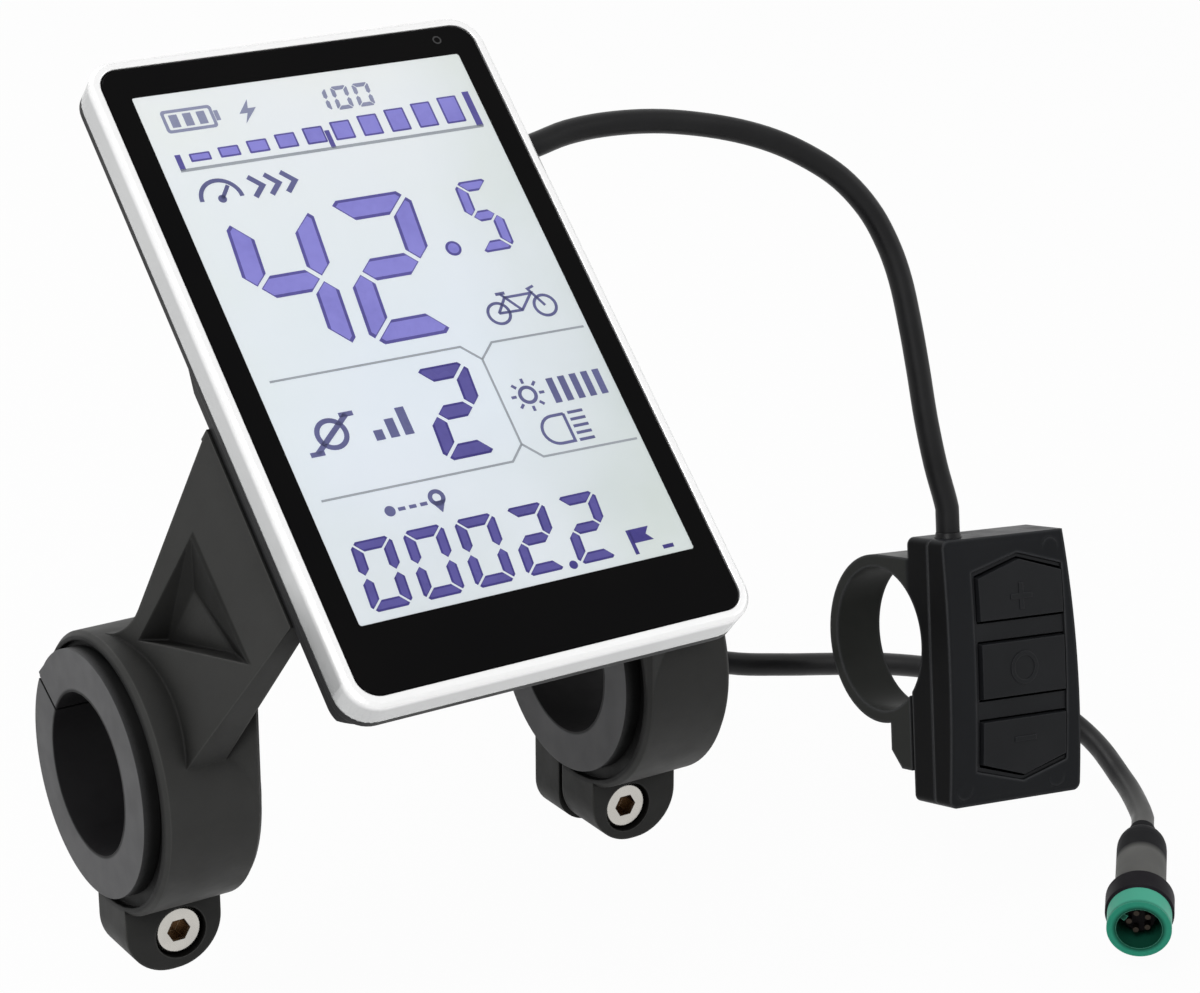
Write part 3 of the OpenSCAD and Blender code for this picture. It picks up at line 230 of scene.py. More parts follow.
# Cables. Their routes are those of the CAD part, in millimetres
CABLE_D = 3.6
POD_ROUTE = [
    (10, 10.01, 60.97), (10, 12.66, 63.41), (10.8, 15.4, 65.4), (13.5, 18, 67.4), (19, 19.6, 68.8),
    (27, 20, 69.4), (35, 20, 69.4), (42.8, 20.8, 70.6), (50.6, 21, 70.8), (59, 20.2, 70.2),
    (68, 19, 68.4), (75, 17, 66.2), (80.5, 14.6, 63.4), (85.2, 12, 59.8), (88.6, 9.4, 55.2),
    (90.5, 7, 50.2), (91.3, 4.6, 45), (91.4, 2, 38.6), (91.2, -0.6, 32), (91, -3, 25.4),
    (91.4, -5.2, 18.6), (92.35, -7.18, 12.02), (91.98, -8.04, 8.54),
]
MAIN_ROUTE = [
    (8, -5.16, 34.66), (8, -2.72, 32.01), (8.4, 4, 25.6), (10, 10, 19.4), (14, 17, 12.8),
    (20, 22.2, 7), (28, 25, 1.8), (38, 25.8, -3.8), (48, 25, -8.4), (60, 23, -14),
    (72, 20.8, -18.4), (82, 20.2, -20.8), (92, 20.2, -23), (102, 20.6, -25.4), (112, 20.8, -28.4),
    (121.6, 20.8, -31.8), (128.6, 20.2, -34.8), (133, 18.4, -37.6), (135.6, 15.6, -39.6),
    (136.7, 12, -41), (136.7, 8.2, -41.9), (136, 4.4, -42.5), (134.8, 0.6, -43), (133.4, -3.4, -43.6),
    (131.8, -7.7, -44.1), (129.8, -12, -44.6), (127.5, -16.03, -45.03), (125.09, -18.68, -45.43),
]


def smooth_path(points, steps=5):
    """A smooth curve through every point, in metres, straight between the first and the last two."""
    p = [Vector(v) * MM for v in points]
    path = [p[0]]
    for i in range(len(p) - 1):
        a, b, c, d = p[max(i - 1, 0)], p[i], p[i + 1], p[min(i + 2, len(p) - 1)]
        straight = i in (0, len(p) - 2)
        for k in range(1, steps + 1):
            t = k / steps
            if straight:
                path.append(b.lerp(c, t))
                continue
            bend = (a * 2 - b * 5 + c * 4 - d) * t**2
            sway = (b * 3 - a - c * 3 + d) * t**3
            path.append((b * 2 + (c - a) * t + bend + sway) / 2)
    return path


def tube(name, path, radius, sides=20):
    """A round tube along a path, with its rings turned as little as they can be."""
    rings = []
    side = None
    for i, p in enumerate(path):
        head = (path[min(i + 1, len(path) - 1)] - path[max(i - 1, 0)]).normalized()
        side = side or head.orthogonal().normalized()
        side = (side - head * side.dot(head)).normalized()
        across = head.cross(side)
        turns = [2 * math.pi * k / sides for k in range(sides)]
        rings.append([p + (side * math.cos(a) + across * math.sin(a)) * radius for a in turns])
    verts, faces = lofted(rings)
    return mesh_object(name, verts, faces, 60)


def make_cable(name, node, route):
    path = smooth_path(route)
    cable = tube(name, path, CABLE_D / 2 * MM)
    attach(cable, BODY)
    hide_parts(node)
    return cable


pod_lead = make_cable("pod_lead", "pod_cable", POD_ROUTE)
main_lead = make_cable("main_lead", "main_cable", MAIN_ROUTE)


# Materials
def linear(*rgb):
    """A colour given as 0 to 255 sRGB values."""
    return tuple(((c / 255 + 0.055) / 1.055) ** 2.4 if c > 10 else c / 255 / 12.92 for c in rgb) + (1.0,)


BEVEL_SAMPLES, HOLLOW_SAMPLES = 6, 8
# Shares of noise between which a cloud grows and a gloss varies, and of an edge's turn where the painted
# edge highlight fades
CLOUD, SPREAD, EDGE = (0.35, 0.7), (0.3, 0.7), (0.8, 0.99)
# Share of the view from which a place counts as quite open
OPEN = 0.92
NOISE_DETAIL = 3.0


class Surface:
    """A material whose colour, roughness and bump come from noise and places in the shared frame."""

    def __init__(self, name, colour, roughness, **sockets):
        self.material = bpy.data.materials.new(name)
        self.material.use_nodes = True
        self.nodes = self.material.node_tree.nodes
        self.links = self.material.node_tree.links
        self.shader = self.nodes["Principled BSDF"]
        self.shader.inputs["Roughness"].default_value = roughness
        for key, value in sockets.items():
            self.shader.inputs[key.replace("_", " ")].default_value = value
        self.roughness = roughness
        self.place = self.nodes.new("ShaderNodeTexCoord").outputs["Object"]
        self.colour_out = self.flat(colour)
        self.normal_out = None

    def flat(self, colour):
        node = self.nodes.new("ShaderNodeRGB")
        node.outputs[0].default_value = colour
        return node.outputs[0]

    def noise(self, scale, detail=2.0, stretch=None):
        node = self.nodes.new("ShaderNodeTexNoise")
        node.inputs["Scale"].default_value = scale
        node.inputs["Detail"].default_value = detail
        place = self.place
        if stretch:
            mapping = self.nodes.new("ShaderNodeMapping")
            mapping.inputs["Scale"].default_value = stretch
            self.links.new(place, mapping.inputs["Vector"])
            place = mapping.outputs["Vector"]
        self.links.new(place, node.inputs["Vector"])
        return node.outputs["Fac"]

    def ranged(self, value, low, high, to_low, to_high):
        """A value moved from one range to another, and kept within it."""
        node = self.nodes.new("ShaderNodeMapRange")
        limits = {"From Min": low, "From Max": high, "To Min": to_low, "To Max": to_high}
        for socket, number in limits.items():
            node.inputs[socket].default_value = number
        self.links.new(value, node.inputs["Value"])
        return node.outputs["Result"]

    def mix(self, share, colour):
        """Lays a colour over what is there, where share says."""
        node = self.nodes.new("ShaderNodeMix")
        node.data_type = "RGBA"
        self.links.new(share, node.inputs["Factor"])
        self.links.new(self.colour_out, node.inputs["A"])
        node.inputs["B"].default_value = colour
        self.colour_out = node.outputs["Result"]

    def tone(self, scale, colour, amount):
        """Clouds of another colour."""
        self.mix(self.ranged(self.noise(scale, NOISE_DETAIL), *CLOUD, 0, amount), colour)

    def share_along(self, direction, low, high, amount, start=(0, 0, 0)):
        """A share that grows along a direction, between two distances in millimetres from a start point."""
        head = Vector(direction).normalized()
        node = self.vector("DOT_PRODUCT", self.place, head)
        zero = head.dot(Vector(start)) * MM
        return self.ranged(node.outputs["Value"], zero + low * MM, zero + high * MM, 0, amount)

    def along(self, direction, low, high, colour, amount, start=(0, 0, 0)):
        """Another colour that comes in along a direction."""
        self.mix(self.share_along(direction, low, high, amount, start), colour)

    def both(self, first, second):
        """The product of two shares."""
        node = self.nodes.new("ShaderNodeMath")
        node.operation = "MULTIPLY"
        self.links.new(first, node.inputs[0])
        self.links.new(second, node.inputs[1])
        return node.outputs[0]

    def inside(self, corners, soft):
        """A share of one inside an outline in the display's own up and depth, all the way across."""
        points = [DISPLAY @ (Vector((0, up, -depth)) * MM) / MM for up, depth in corners]
        middle = sum(points, Vector()) / len(points)
        share = None
        for i, point in enumerate(points):
            inward = (points[i - 1] - point).cross(BAR)
            if inward.dot(middle - point) < 0:
                inward = -inward
            edge = self.share_along(inward, 0, soft, 1, point)
            share = self.both(share, edge) if share else edge
        return share

    def facing_out(self):
        """A share of one on faces that look away from the middle of the width."""
        product = self.vector("MULTIPLY", self.place)
        self.links.new(self.nodes.new("ShaderNodeNewGeometry").outputs["Normal"], product.inputs[1])
        across = self.vector("DOT_PRODUCT", product.outputs["Vector"], BAR)
        return self.ranged(across.outputs["Value"], 0, MM, 0, 1)

    def vector(self, operation, value, other=None):
        node = self.nodes.new("ShaderNodeVectorMath")
        node.operation = operation
        self.links.new(value, node.inputs[0])
        if other is not None:
            node.inputs[1].default_value = other
        return node

    def around(self, start, axis, low, high, colour, inside, outside):
        """Another colour, with one share within low of an axis and another beyond high, in millimetres."""
        moved = self.vector("SUBTRACT", self.place, Vector(start) * MM)
        across = self.vector("CROSS_PRODUCT", moved.outputs["Vector"], Vector(axis).normalized())
        reach = self.vector("LENGTH", across.outputs["Vector"])
        self.mix(self.ranged(reach.outputs["Value"], low * MM, high * MM, inside, outside), colour)

    def eased_normal(self, radius):
        """The surface's direction, turned smoothly round its edges."""
        node = self.nodes.new("ShaderNodeBevel")
        node.samples = BEVEL_SAMPLES
        node.inputs["Radius"].default_value = radius * MM
        return node.outputs["Normal"]

    def painted_edge_highlight(self, radius, colour, amount):
        """A painted highlight along edges, paler where the eased direction turns away from the face's own.
        """
        turn = self.vector("DOT_PRODUCT", self.eased_normal(radius))
        self.links.new(self.nodes.new("ShaderNodeNewGeometry").outputs["Normal"], turn.inputs[1])
        self.mix(self.ranged(turn.outputs["Value"], *EDGE, amount, 0), colour)

    def painted_hollow_shade(self, distance, colour, amount, closed=0.35):
        """Painted shade in hollows, full where no more than the share closed of the view is open."""
        node = self.nodes.new("ShaderNodeAmbientOcclusion")
        node.samples = HOLLOW_SAMPLES
        node.inputs["Distance"].default_value = distance * MM
        self.mix(self.ranged(node.outputs["AO"], closed, OPEN, amount, 0), colour)

    def gloss(self, scale, swing, detail=NOISE_DETAIL, stretch=None):
        """Roughness that varies by swing to both sides."""
        low, high = self.roughness - swing, self.roughness + swing
        spread = self.ranged(self.noise(scale, detail, stretch), *SPREAD, low, high)
        self.links.new(spread, self.shader.inputs["Roughness"])

    def rounded(self, radius):
        """Softens the highlight along sharp edges."""
        self.normal_out = self.eased_normal(radius)

    def bump(self, scale, height, stretch=None):
        """Fine relief of a height in millimetres."""
        node = self.nodes.new("ShaderNodeBump")
        node.inputs["Distance"].default_value = height * MM
        self.links.new(self.noise(scale, stretch=stretch), node.inputs["Height"])
        if self.normal_out:
            self.links.new(self.normal_out, node.inputs["Normal"])
        self.normal_out = node.outputs["Normal"]

    def done(self):
        self.links.new(self.colour_out, self.shader.inputs["Base Color"])
        if self.normal_out:
            self.links.new(self.normal_out, self.shader.inputs["Normal"])
        return self.material


def moulded(name, colour, lighter, roughness, grain=1600, depth=0.012, edge=0.25, shine=0.2):
    """Black or grey moulded plastic with a fine spark-eroded grain."""
    s = Surface(name, colour, roughness, Specular_IOR_Level=shine)
    s.tone(70, lighter, 0.5)
    s.gloss(220, 0.06)
    s.rounded(edge)
    s.bump(grain, depth)
    return s


def rubbery(name, colour, lighter, roughness, shine=0.2):
    """Soft rubber, which is smoother and duller than the moulded plastic."""
    s = Surface(name, colour, roughness, Specular_IOR_Level=shine)
    s.tone(120, lighter, 0.6)
    s.gloss(300, 0.07)
    s.rounded(0.2)
    s.bump(2200, 0.008)
    return s


def metal(name, colour, roughness, stretch, edge=0.15):
    """Metal with fine lines along one direction."""
    s = Surface(name, colour, roughness, Metallic=1.0)
    s.tone(300, tuple(c * 0.8 for c in colour[:3]) + (1.0,), 0.5)
    s.gloss(900, 0.06, 2.0, stretch)
    s.rounded(edge)
    s.bump(1400, 0.004, stretch)
    return s


def plain(name, colour, other, roughness, scale=200, **sockets):
    """A smooth part that is mostly hidden inside."""
    s = Surface(name, colour, roughness, **sockets)
    s.tone(scale, other, 0.6)
    s.gloss(scale * 2, 0.05)
    s.bump(scale * 4, 0.006)
    return s


# Display head
glass_black = Surface("glass_black", linear(5, 5, 6), 0.09, Specular_IOR_Level=0.045)
glass_black.tone(40, linear(10, 9, 9), 0.7)
glass_black.gloss(55, 0.03)
glass_black.bump(60, 0.004)

face = Surface("picture_face", linear(226, 235, 243), 0.22, Specular_IOR_Level=0.15)
# Painted light and shade: the picture is paler towards the top and darker towards the bottom and the right
face.along(SCREEN_UP, 5, 42, linear(240, 242, 238), 0.9, SCREEN_MIDDLE)
face.along(-SCREEN_UP, 12, 42, linear(205, 213, 214), 0.9, SCREEN_MIDDLE)
face.along((1, -0.1, -0.1), 8, 26, linear(196, 206, 200), 0.8, SCREEN_MIDDLE)
face.tone(28, linear(228, 236, 228), 0.5)
face.tone(45, linear(234, 239, 249), 0.5)
face.gloss(90, 0.05)
face.bump(900, 0.003)
# A faint painted glow on the picture
face.shader.inputs["Emission Strength"].default_value = 0.17
face.shader.inputs["Emission Color"].default_value = linear(226, 232, 238)


def ink(name, colour, other):
    """Printed or switched fields of the picture."""
    s = Surface(name, colour, 0.3, Specular_IOR_Level=0.15)
    s.tone(160, other, 0.8)
    s.tone(900, colour, 0.6)
    s.gloss(300, 0.06)
    s.bump(1200, 0.002)
    return s.done()


silver = Surface("silver_frame", linear(204, 205, 205), 0.22, Metallic=0.6)
silver.tone(60, linear(190, 191, 192), 0.4)
# Painted highlight: the front lip of the frame is nearly white
silver.along(SCREEN_OUT, -1.5, -0.7, linear(254, 254, 254), 1, SCREEN_MIDDLE)
silver.gloss(240, 0.04)
silver.rounded(0.35)
silver.bump(1500, 0.0012)

# Clamp arms, whose ears are darker and whose recesses beside the sleeves' flanges are dark, both by painted
# shade
RING_MIDDLE = (0, -1.1, 0)
bracket = moulded(
    "bracket_charcoal", linear(51, 51, 50), linear(60, 60, 59), 0.56,
    grain=1100, depth=0.02, edge=0.5, shine=0.15,
)
# Painted shade: darker towards the bottom, on the ears
bracket.along((0, 0, -1), 17, 22, linear(34, 34, 33), 0.75)

# Corners of each arm's pocket, as up and depth on the display. Its walls have painted shade from mouth to
# floor, and its floor is set back near the arm's own colour
POCKET_MOUTH = [(-13.2, 15.2), (-20.4, 29.5), (-33.6, 14.8)]
POCKET_FLOOR = [(-18.8, 20.6), (-21.9, 28.4), (-30.1, 18.2)]
# Painted shade on the pocket's walls
pocket_shade_share = bracket.both(bracket.inside(POCKET_MOUTH, 0.3), bracket.facing_out())
bracket.mix(pocket_shade_share, linear(24, 24, 23))
floor_share = bracket.both(bracket.inside(POCKET_FLOOR, 0.6), bracket.facing_out())
bracket.mix(floor_share, linear(52, 52, 51))
# Painted highlights along the edges, and painted shade in hollows
bracket.painted_edge_highlight(0.5, linear(88, 88, 86), 0.6)
bracket.painted_hollow_shade(9, linear(6, 6, 5), 0.97, 0.6)
bracket.painted_hollow_shade(5, linear(6, 6, 5), 0.9, 0.74)
# Painted shade in the recesses beside the sleeves' flanges
bracket.around(RING_MIDDLE, BAR, 18.6, 18.9, linear(14, 14, 14), 0.9, 0)

# Sleeves, with painted shade in the bore, and leads, the outer one paler towards the plug by painted light
sleeve = rubbery("sleeve_rubber", linear(84, 84, 85), linear(94, 94, 95), 0.62)
# Painted highlights along the edges, painted shade in hollows and in the bore
sleeve.painted_edge_highlight(0.3, linear(100, 100, 101), 0.4)
sleeve.painted_hollow_shade(5, linear(4, 4, 4), 1, 0.68)
sleeve.around((0, 0, 0), BAR, 11.3, 11.6, linear(8, 7, 9), 1, 0)
cable_jacket = rubbery("cable_jacket", linear(23, 23, 24), linear(33, 33, 34), 0.38, 0.15)
# Painted light: the outer lead is paler towards the plug
cable_jacket.along((-0.4, -1, -0.6), 14, 40, linear(126, 126, 124), 0.95, (100, 0, 0))

# Plug, whose rear dome is darker, and whose socket has painted shade in its depth
plug_body = rubbery("plug_body", linear(108, 108, 106), linear(124, 124, 121), 0.5, 0.02)
plug_body.along(PLUG_BACK, 17.2, 18.8, linear(26, 26, 29), 0.95, PLUG_FACE)
# Painted shade in hollows
plug_body.painted_hollow_shade(3, linear(30, 30, 32), 0.8)
teal_plastic = plain(
    "teal_plastic", linear(46, 142, 116), linear(58, 150, 126), 0.4, 260, Specular_IOR_Level=0.06
)
teal_plastic.along(PLUG_BACK, 0.1, 0.8, linear(96, 200, 170), 0.9, PLUG_FACE)
# Painted shade in the depth of the socket, then painted highlights along the edges and painted shade in
# hollows
teal_plastic.around(PLUG_FACE, PLUG_BACK, 3.6, 4.2, linear(8, 62, 46), 0.95, 0)
teal_plastic.painted_edge_highlight(0.3, linear(110, 196, 170), 0.4)
teal_plastic.painted_hollow_shade(1.5, linear(6, 46, 36), 0.8)

# The clamp screws' sockets have painted shade and a brown painted reflection below the face of the head,
# and the shank beyond them is bright again
SCREW_FACE = (0, -5.45, 0)
SCREW_STEEL = linear(196, 193, 187)
socket_steel = metal("socket_steel", SCREW_STEEL, 0.26, (6, 1, 1))
socket_steel.along((0, 1, 0), 0.35, 0.8, linear(122, 104, 84), 1, SCREW_FACE)
socket_steel.along((0, 1, 0), 3.2, 3.6, SCREW_STEEL, 1, SCREW_FACE)

casing = moulded("casing_black", linear(25, 25, 26), linear(34, 34, 35), 0.5, grain=1400, depth=0.014)
# Painted highlights along the edges, and painted shade in hollows
casing.painted_edge_highlight(0.4, linear(62, 62, 64), 0.6)
casing.painted_hollow_shade(5, linear(8, 8, 9), 0.8)

# Switch pod, whose ring is paler than its face by painted light, and whose side towards the display is
# darker by painted shade
pod_black = moulded(
    "pod_black", linear(33, 34, 36), linear(39, 40, 42), 0.34,
    grain=1300, depth=0.008, edge=0.5, shine=0.035,
)
# Painted light on the ring
ring_light_share = pod_black.share_along(-POD_FORWARD, -8.3, -7.3, 0.9, POD_CORNER)
pod_black.mix(ring_light_share, linear(47, 48, 46))
# Painted shade on the side towards the display
shaded_side_share = pod_black.share_along(POD_SIDE, -0.6, -0.1, 0.95, POD_CORNER)
front_share = pod_black.share_along(POD_FORWARD, 7.6, 8.6, 1, POD_CORNER)
pod_black.mix(pod_black.both(shaded_side_share, front_share), linear(7, 7, 8))
# Painted highlights along the edges, and painted shade in hollows
pod_black.painted_edge_highlight(0.9, linear(78, 79, 81), 0.8)
pod_black.painted_hollow_shade(4, linear(7, 7, 8), 0.7)
key_rubber = rubbery("key_rubber", linear(24, 25, 27), linear(30, 31, 33), 0.42, 0.12)
# Painted highlights along the edges
key_rubber.painted_edge_highlight(0.35, linear(50, 51, 54), 0.6)
collar_rubber = rubbery("plug_collar", linear(28, 26, 30), linear(38, 36, 40), 0.45, 0.03)
# Painted highlights along the edges
collar_rubber.painted_edge_highlight(0.4, linear(74, 68, 74), 0.5)

MATERIALS = {
    "glass": glass_black.done(),
    "face": face.done(),
    "bezel": silver.done(),
    "casing": casing.done(),
    "bracket": bracket.done(),
    "rubber": sleeve.done(),
    "film": plain("clear_film", linear(190, 200, 198), linear(205, 210, 208), 0.2).done(),
    "white_plastic": plain("white_plastic", linear(225, 225, 222), linear(210, 210, 206), 0.35).done(),
    "flex": plain("amber_film", linear(190, 120, 40), linear(170, 95, 30), 0.3).done(),
    "board": plain("board_green", linear(22, 78, 48), linear(16, 60, 38), 0.35).done(),
    "chip": plain("chip_black", linear(24, 24, 25), linear(36, 36, 36), 0.45).done(),
    "can": metal("tin_can", linear(190, 190, 192), 0.3, (1, 1, 8)).done(),
    "steel": metal("bright_steel", linear(206, 204, 200), 0.24, (6, 1, 1)).done(),
    "socket_steel": socket_steel.done(),
    "pod": pod_black.done(),
    "key": key_rubber.done(),
    "cable": cable_jacket.done(),
    "plug": plug_body.done(),
    "collar": collar_rubber.done(),
    "teal": teal_plastic.done(),
    "insert": plain(
        "plug_insert", linear(18, 16, 17), linear(28, 24, 25), 0.4, Specular_IOR_Level=0.05
    ).done(),
    "brass": metal("pin_brass", linear(58, 52, 46), 0.45, (1, 1, 5), 0.05).done(),
    "ink_pale": ink("ink_pale", linear(158, 162, 190), linear(140, 146, 176)),
    "ink_grey": ink("ink_grey", linear(112, 114, 160), linear(98, 100, 142)),
    "ink_edge": ink("ink_edge", linear(104, 98, 172), linear(88, 84, 150)),
    "ink_core": ink("ink_core", linear(154, 150, 232), linear(138, 134, 216)),
    "ink_dark": ink("ink_dark", linear(78, 72, 146), linear(66, 60, 122)),
    "ink_line": ink("ink_line", linear(174, 180, 188), linear(160, 166, 174)),
}

# Finish of every CAD node, which has its slot's name but for these
SLOT_OF = {entry["node"]: entry["material_slot"] for entry in frame["record"]["subparts"]}
FINISH = {"display": "film"}
OWN_FINISH = {"connector_collar": "collar", "connector_insert": "insert", "clamp_screws": "socket_steel"}


def dress(obj, finish):
    obj.data.materials.clear()
    obj.data.materials.append(MATERIALS[finish])


for node, obj in frame["nodes"].items():
    finish = OWN_FINISH.get(node, FINISH.get(SLOT_OF[node], SLOT_OF[node]))
    dress(obj, finish)

dress(pod_lead, "cable")
dress(main_lead, "cable")


def finished(obj, finish, body=BODY):
    dress(obj, finish)
    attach(obj, body)


# Cover glass with a window, and the picture's plate inside it
GLASS_W, GLASS_H, GLASS_T, GLASS_CORNER = 56.8, 94.6, 1.1, 3.0
PICTURE_W, PICTURE_H, PICTURE_UP = 49.8, 80.4, 2.4
EASE = 0.25
SUNK = 0.12
WINDOW_CORNER, WINDOW_PLAY = 0.4, 0.02


def on_screen(points, depth):
    return [DISPLAY @ (Vector((x, y, -depth)) * MM) for x, y in points]


outer = rounded(GLASS_W, GLASS_H, GLASS_CORNER)
eased = rounded(GLASS_W - 2 * EASE, GLASS_H - 2 * EASE, GLASS_CORNER - EASE)
window = rounded(PICTURE_W, PICTURE_H, WINDOW_CORNER, 0, PICTURE_UP)
glass_rings = [
    on_screen(outer, GLASS_T), on_screen(outer, EASE), on_screen(eased, 0),
    on_screen(window, 0), on_screen(window, GLASS_T),
]
cover = mesh_object("cover_glass", *lofted(glass_rings, False), 30)
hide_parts("front_glass")
finished(cover, "glass")

plate = Plates(DISPLAY, -SUNK, -GLASS_T)
plate.shape(rounded(PICTURE_W - WINDOW_PLAY, PICTURE_H - WINDOW_PLAY, WINDOW_CORNER, 0, PICTURE_UP))
finished(plate.made("picture_plate"), "face")

# Signs on the screen. Heights are in millimetres above the screen's own plane
INK_TOP, INK_LOW = -0.07, -SUNK - 0.02
CORE_TOP = -0.05


def sign(top=INK_TOP):
    return Plates(DISPLAY, top, INK_LOW)


# Share of a segment's width that is cut off its sharp tips
BLUNT = 0.2
SEGMENTS = {"0": "abcdef", "1": "bc", "2": "abdeg", "3": "abcdg", "4": "bcfg", "5": "acdfg"}


def segment_outline(which, w, h, t, gap, inset):
    """Outline of one segment of a seven-segment digit, about the digit's middle, before it leans."""
    half, top = w / 2 - inset, h / 2 - inset
    t = t - 2 * inset
    g = gap / 2 + inset * 0.4
    b = t * BLUNT
    if which in "ad":
        points = [
            (-half + g + 2 * b, top), (half - g - 2 * b, top), (half - g - b, top - b),
            (half - g - t, top - t), (-half + g + t, top - t), (-half + g + b, top - b),
        ]
        flip = (1, -1) if which == "d" else (1, 1)
    elif which == "g":
        points = [
            (-half + t / 2 + g, 0), (-half + t + g, t / 2), (half - t - g, t / 2),
            (half - t / 2 - g, 0), (half - t - g, -t / 2), (-half + t + g, -t / 2),
        ]
        flip = (1, 1)
    else:
        points = [
            (half - b, top - g - b), (half, top - g - 2 * b), (half, t / 2 + g),
            (half - t / 2, g), (half - t, t / 2 + g), (half - t, top - t - g),
        ]
        flip = {"b": (1, 1), "c": (1, -1), "f": (-1, 1), "e": (-1, -1)}[which]
    return [(x * flip[0], y * flip[1]) for x, y in points]


def digit(edge, core, text, x, y, w, h, t, gap, lean, rim):
    """A seven-segment digit: a darker edge layer and, where core is given, a lighter core above it."""
    for layer, inset in ((edge, 0), (core, rim)):
        if layer is None:
            continue
        for which in SEGMENTS[text]:
            points = segment_outline(which, w, h, t, gap, inset)
            layer.shape([(x + px + lean * py, y + py) for px, py in points])


def leaning(w, h, t, gap, lean, rim=0):
    """A digit's width, height, stroke, gap between strokes, lean and dark rim."""
    return {"w": w, "h": h, "t": t, "gap": gap, "lean": lean, "rim": rim}


SPEED = leaning(12.8, 22.4, 3.4, 0.9, 0.09, 0.45)
TENTHS = leaning(5.4, 11.4, 1.7, 0.5, 0.05, 0.3)
LEVEL = leaning(8.0, 13.8, 2.2, 0.7, 0.07, 0.32)
TRIP = leaning(5.9, 9.9, 1.5, 0.45, 0.08, 0.28)
CHARGE = leaning(2.5, 3.8, 0.6, 0.2, 0.05)

big_edge, big_core = sign(), sign(CORE_TOP)
digit(big_edge, big_core, "4", -14.2, 11.2, **SPEED)
digit(big_edge, big_core, "2", 0.6, 11.2, **SPEED)
digit(big_edge, big_core, "5", 17.4, 16.5, **TENTHS)
big_edge.disc(10.7, 12.3, 1.15)
big_core.disc(10.7, 12.3, 0.8)
finished(big_edge.made("digit_edges"), "ink_edge")
finished(big_core.made("digit_cores"), "ink_core")

small_edge, small_core = sign(), sign(CORE_TOP)
digit(small_edge, small_core, "2", 0.5, -11.4, **LEVEL)
for text, x in zip("00022", (-19.1, -11.6, -4.1, 3.4, 11.2)):
    digit(small_edge, small_core, text, x, -31.5, **TRIP)
small_edge.disc(7.0, -36.2, 0.6)
finished(small_edge.made("trip_edges"), "ink_dark")
finished(small_core.made("trip_cores"), "ink_edge")

# Battery bar: steps that rise over a base line, and ticks, each with its place, top and width
BAR_LOW, BAR_START, BAR_PITCH, BAR_COUNT = 31.6, -18.9, 4.31, 10
STEP_W, STEP_LOW, STEP_RISE, STEP_RIM = 3.0, 1.3, 0.34, 0.25
BASE_Y, BASE_FROM, BASE_TO = 30.5, -22.4, 23.5
TICKS = ((-22.0, 33.0, 0.8), (0.3, 33.4, 0.7), (23.1, 36.3, 1.0))
bars, bar_cores, scale_line = sign(), sign(CORE_TOP), sign()
for i in range(BAR_COUNT):
    x = BAR_START + i * BAR_PITCH
    h = STEP_LOW + i * STEP_RISE
    bars.shape(rounded(STEP_W, h, 0.15, x, BAR_LOW + h / 2, 3))
    core_w, core_h = STEP_W - 2 * STEP_RIM, h - 2 * STEP_RIM
    bar_cores.shape(rounded(core_w, core_h, 0.1, x, BAR_LOW + h / 2, 3))
for x, top, w in TICKS:
    bars.box(x, (BASE_Y + top) / 2, w, top - BASE_Y)
scale_line.line([(BASE_FROM, BASE_Y), (BASE_TO, BASE_Y)], 0.45)
finished(bars.made("bar_steps"), "ink_edge")
finished(bar_cores.made("bar_cores"), "ink_core")
finished(scale_line.made("bar_line"), "ink_line")

# Thin lines between the picture's fields
FIELD_LINES = (
    [(-22.8, -2.3), (5.2, -2.4), (7.5, -4.8), (7.5, -18.0), (5.2, -20.2), (-22.8, -20.1)],
    [(24.2, -2.8), (9.9, -2.6), (7.5, -4.8)],
    [(7.5, -18.0), (9.8, -20.4), (24.2, -20.6)],
)
lines = sign()
for points in FIELD_LINES:
    lines.line(points, 0.3)
finished(lines.made("field_lines"), "ink_line")


# Plain signs of the picture. Each is drawn about zero and has its place further down
def battery(p):
    p.frame_of(rounded(7.4, 3.6, 0.5, 0, 0, 4), rounded(6.5, 2.7, 0.25, 0, 0, 4))
    p.box(4.1, 0, 0.6, 1.6)
    for x in (-2.1, -0.1, 1.9):
        p.box(x, 0, 1.2, 2)


def bolt(p):
    p.shape([(0.6, 1.8), (-1.3, -0.3), (-0.1, -0.3), (-0.9, -1.9), (1.4, 0.4), (0.2, 0.4)])


def charge(p):
    for text, x in zip("100", (-3.3, 0, 3.3)):
        digit(p, None, text, x, 0, **CHARGE)


def gauge(p):
    p.line(circle(0, 0, 2.9, 24, 0, 180), 0.6)
    p.line([(0, 0), (1.5, 1.9)], 0.55)
    p.disc(0, 0, 0.6)


def arrows(p):
    for x in (-2.4, 0, 2.4):
        p.line([(x - 0.8, -1.6), (x + 0.8, 0), (x - 0.8, 1.6)], 0.75)


def bicycle(p):
    for x in (-3.6, 3.6):
        p.ring(x, 0, 1.6, 0.42)
    p.line([(-3.6, 0), (-1.8, 2.2), (2.3, 2.2), (0, -0.1), (-3.6, 0)], 0.38)
    p.line([(-2.2, 2.8), (0, -0.1)], 0.38)
    p.line([(3.6, 0), (2.1, 2.9), (3.1, 3.2)], 0.38)
    p.line([(-2.9, 2.9), (-1.5, 2.9)], 0.45)


def crank(p):
    p.ring(0, 0, 2, 0.7)
    p.line([(-3, -2.4), (3, 2.4)], 0.75)
    for side in (-1, 1):
        p.line([(side * 3 - 1, side * 2.4), (side * 3 + 1, side * 2.4)], 0.7)


def assist_steps(p):
    for i in range(3):
        h = 1.5 + i * 1.3
        p.box((i - 1) * 2.1, h / 2, 1.3, h)


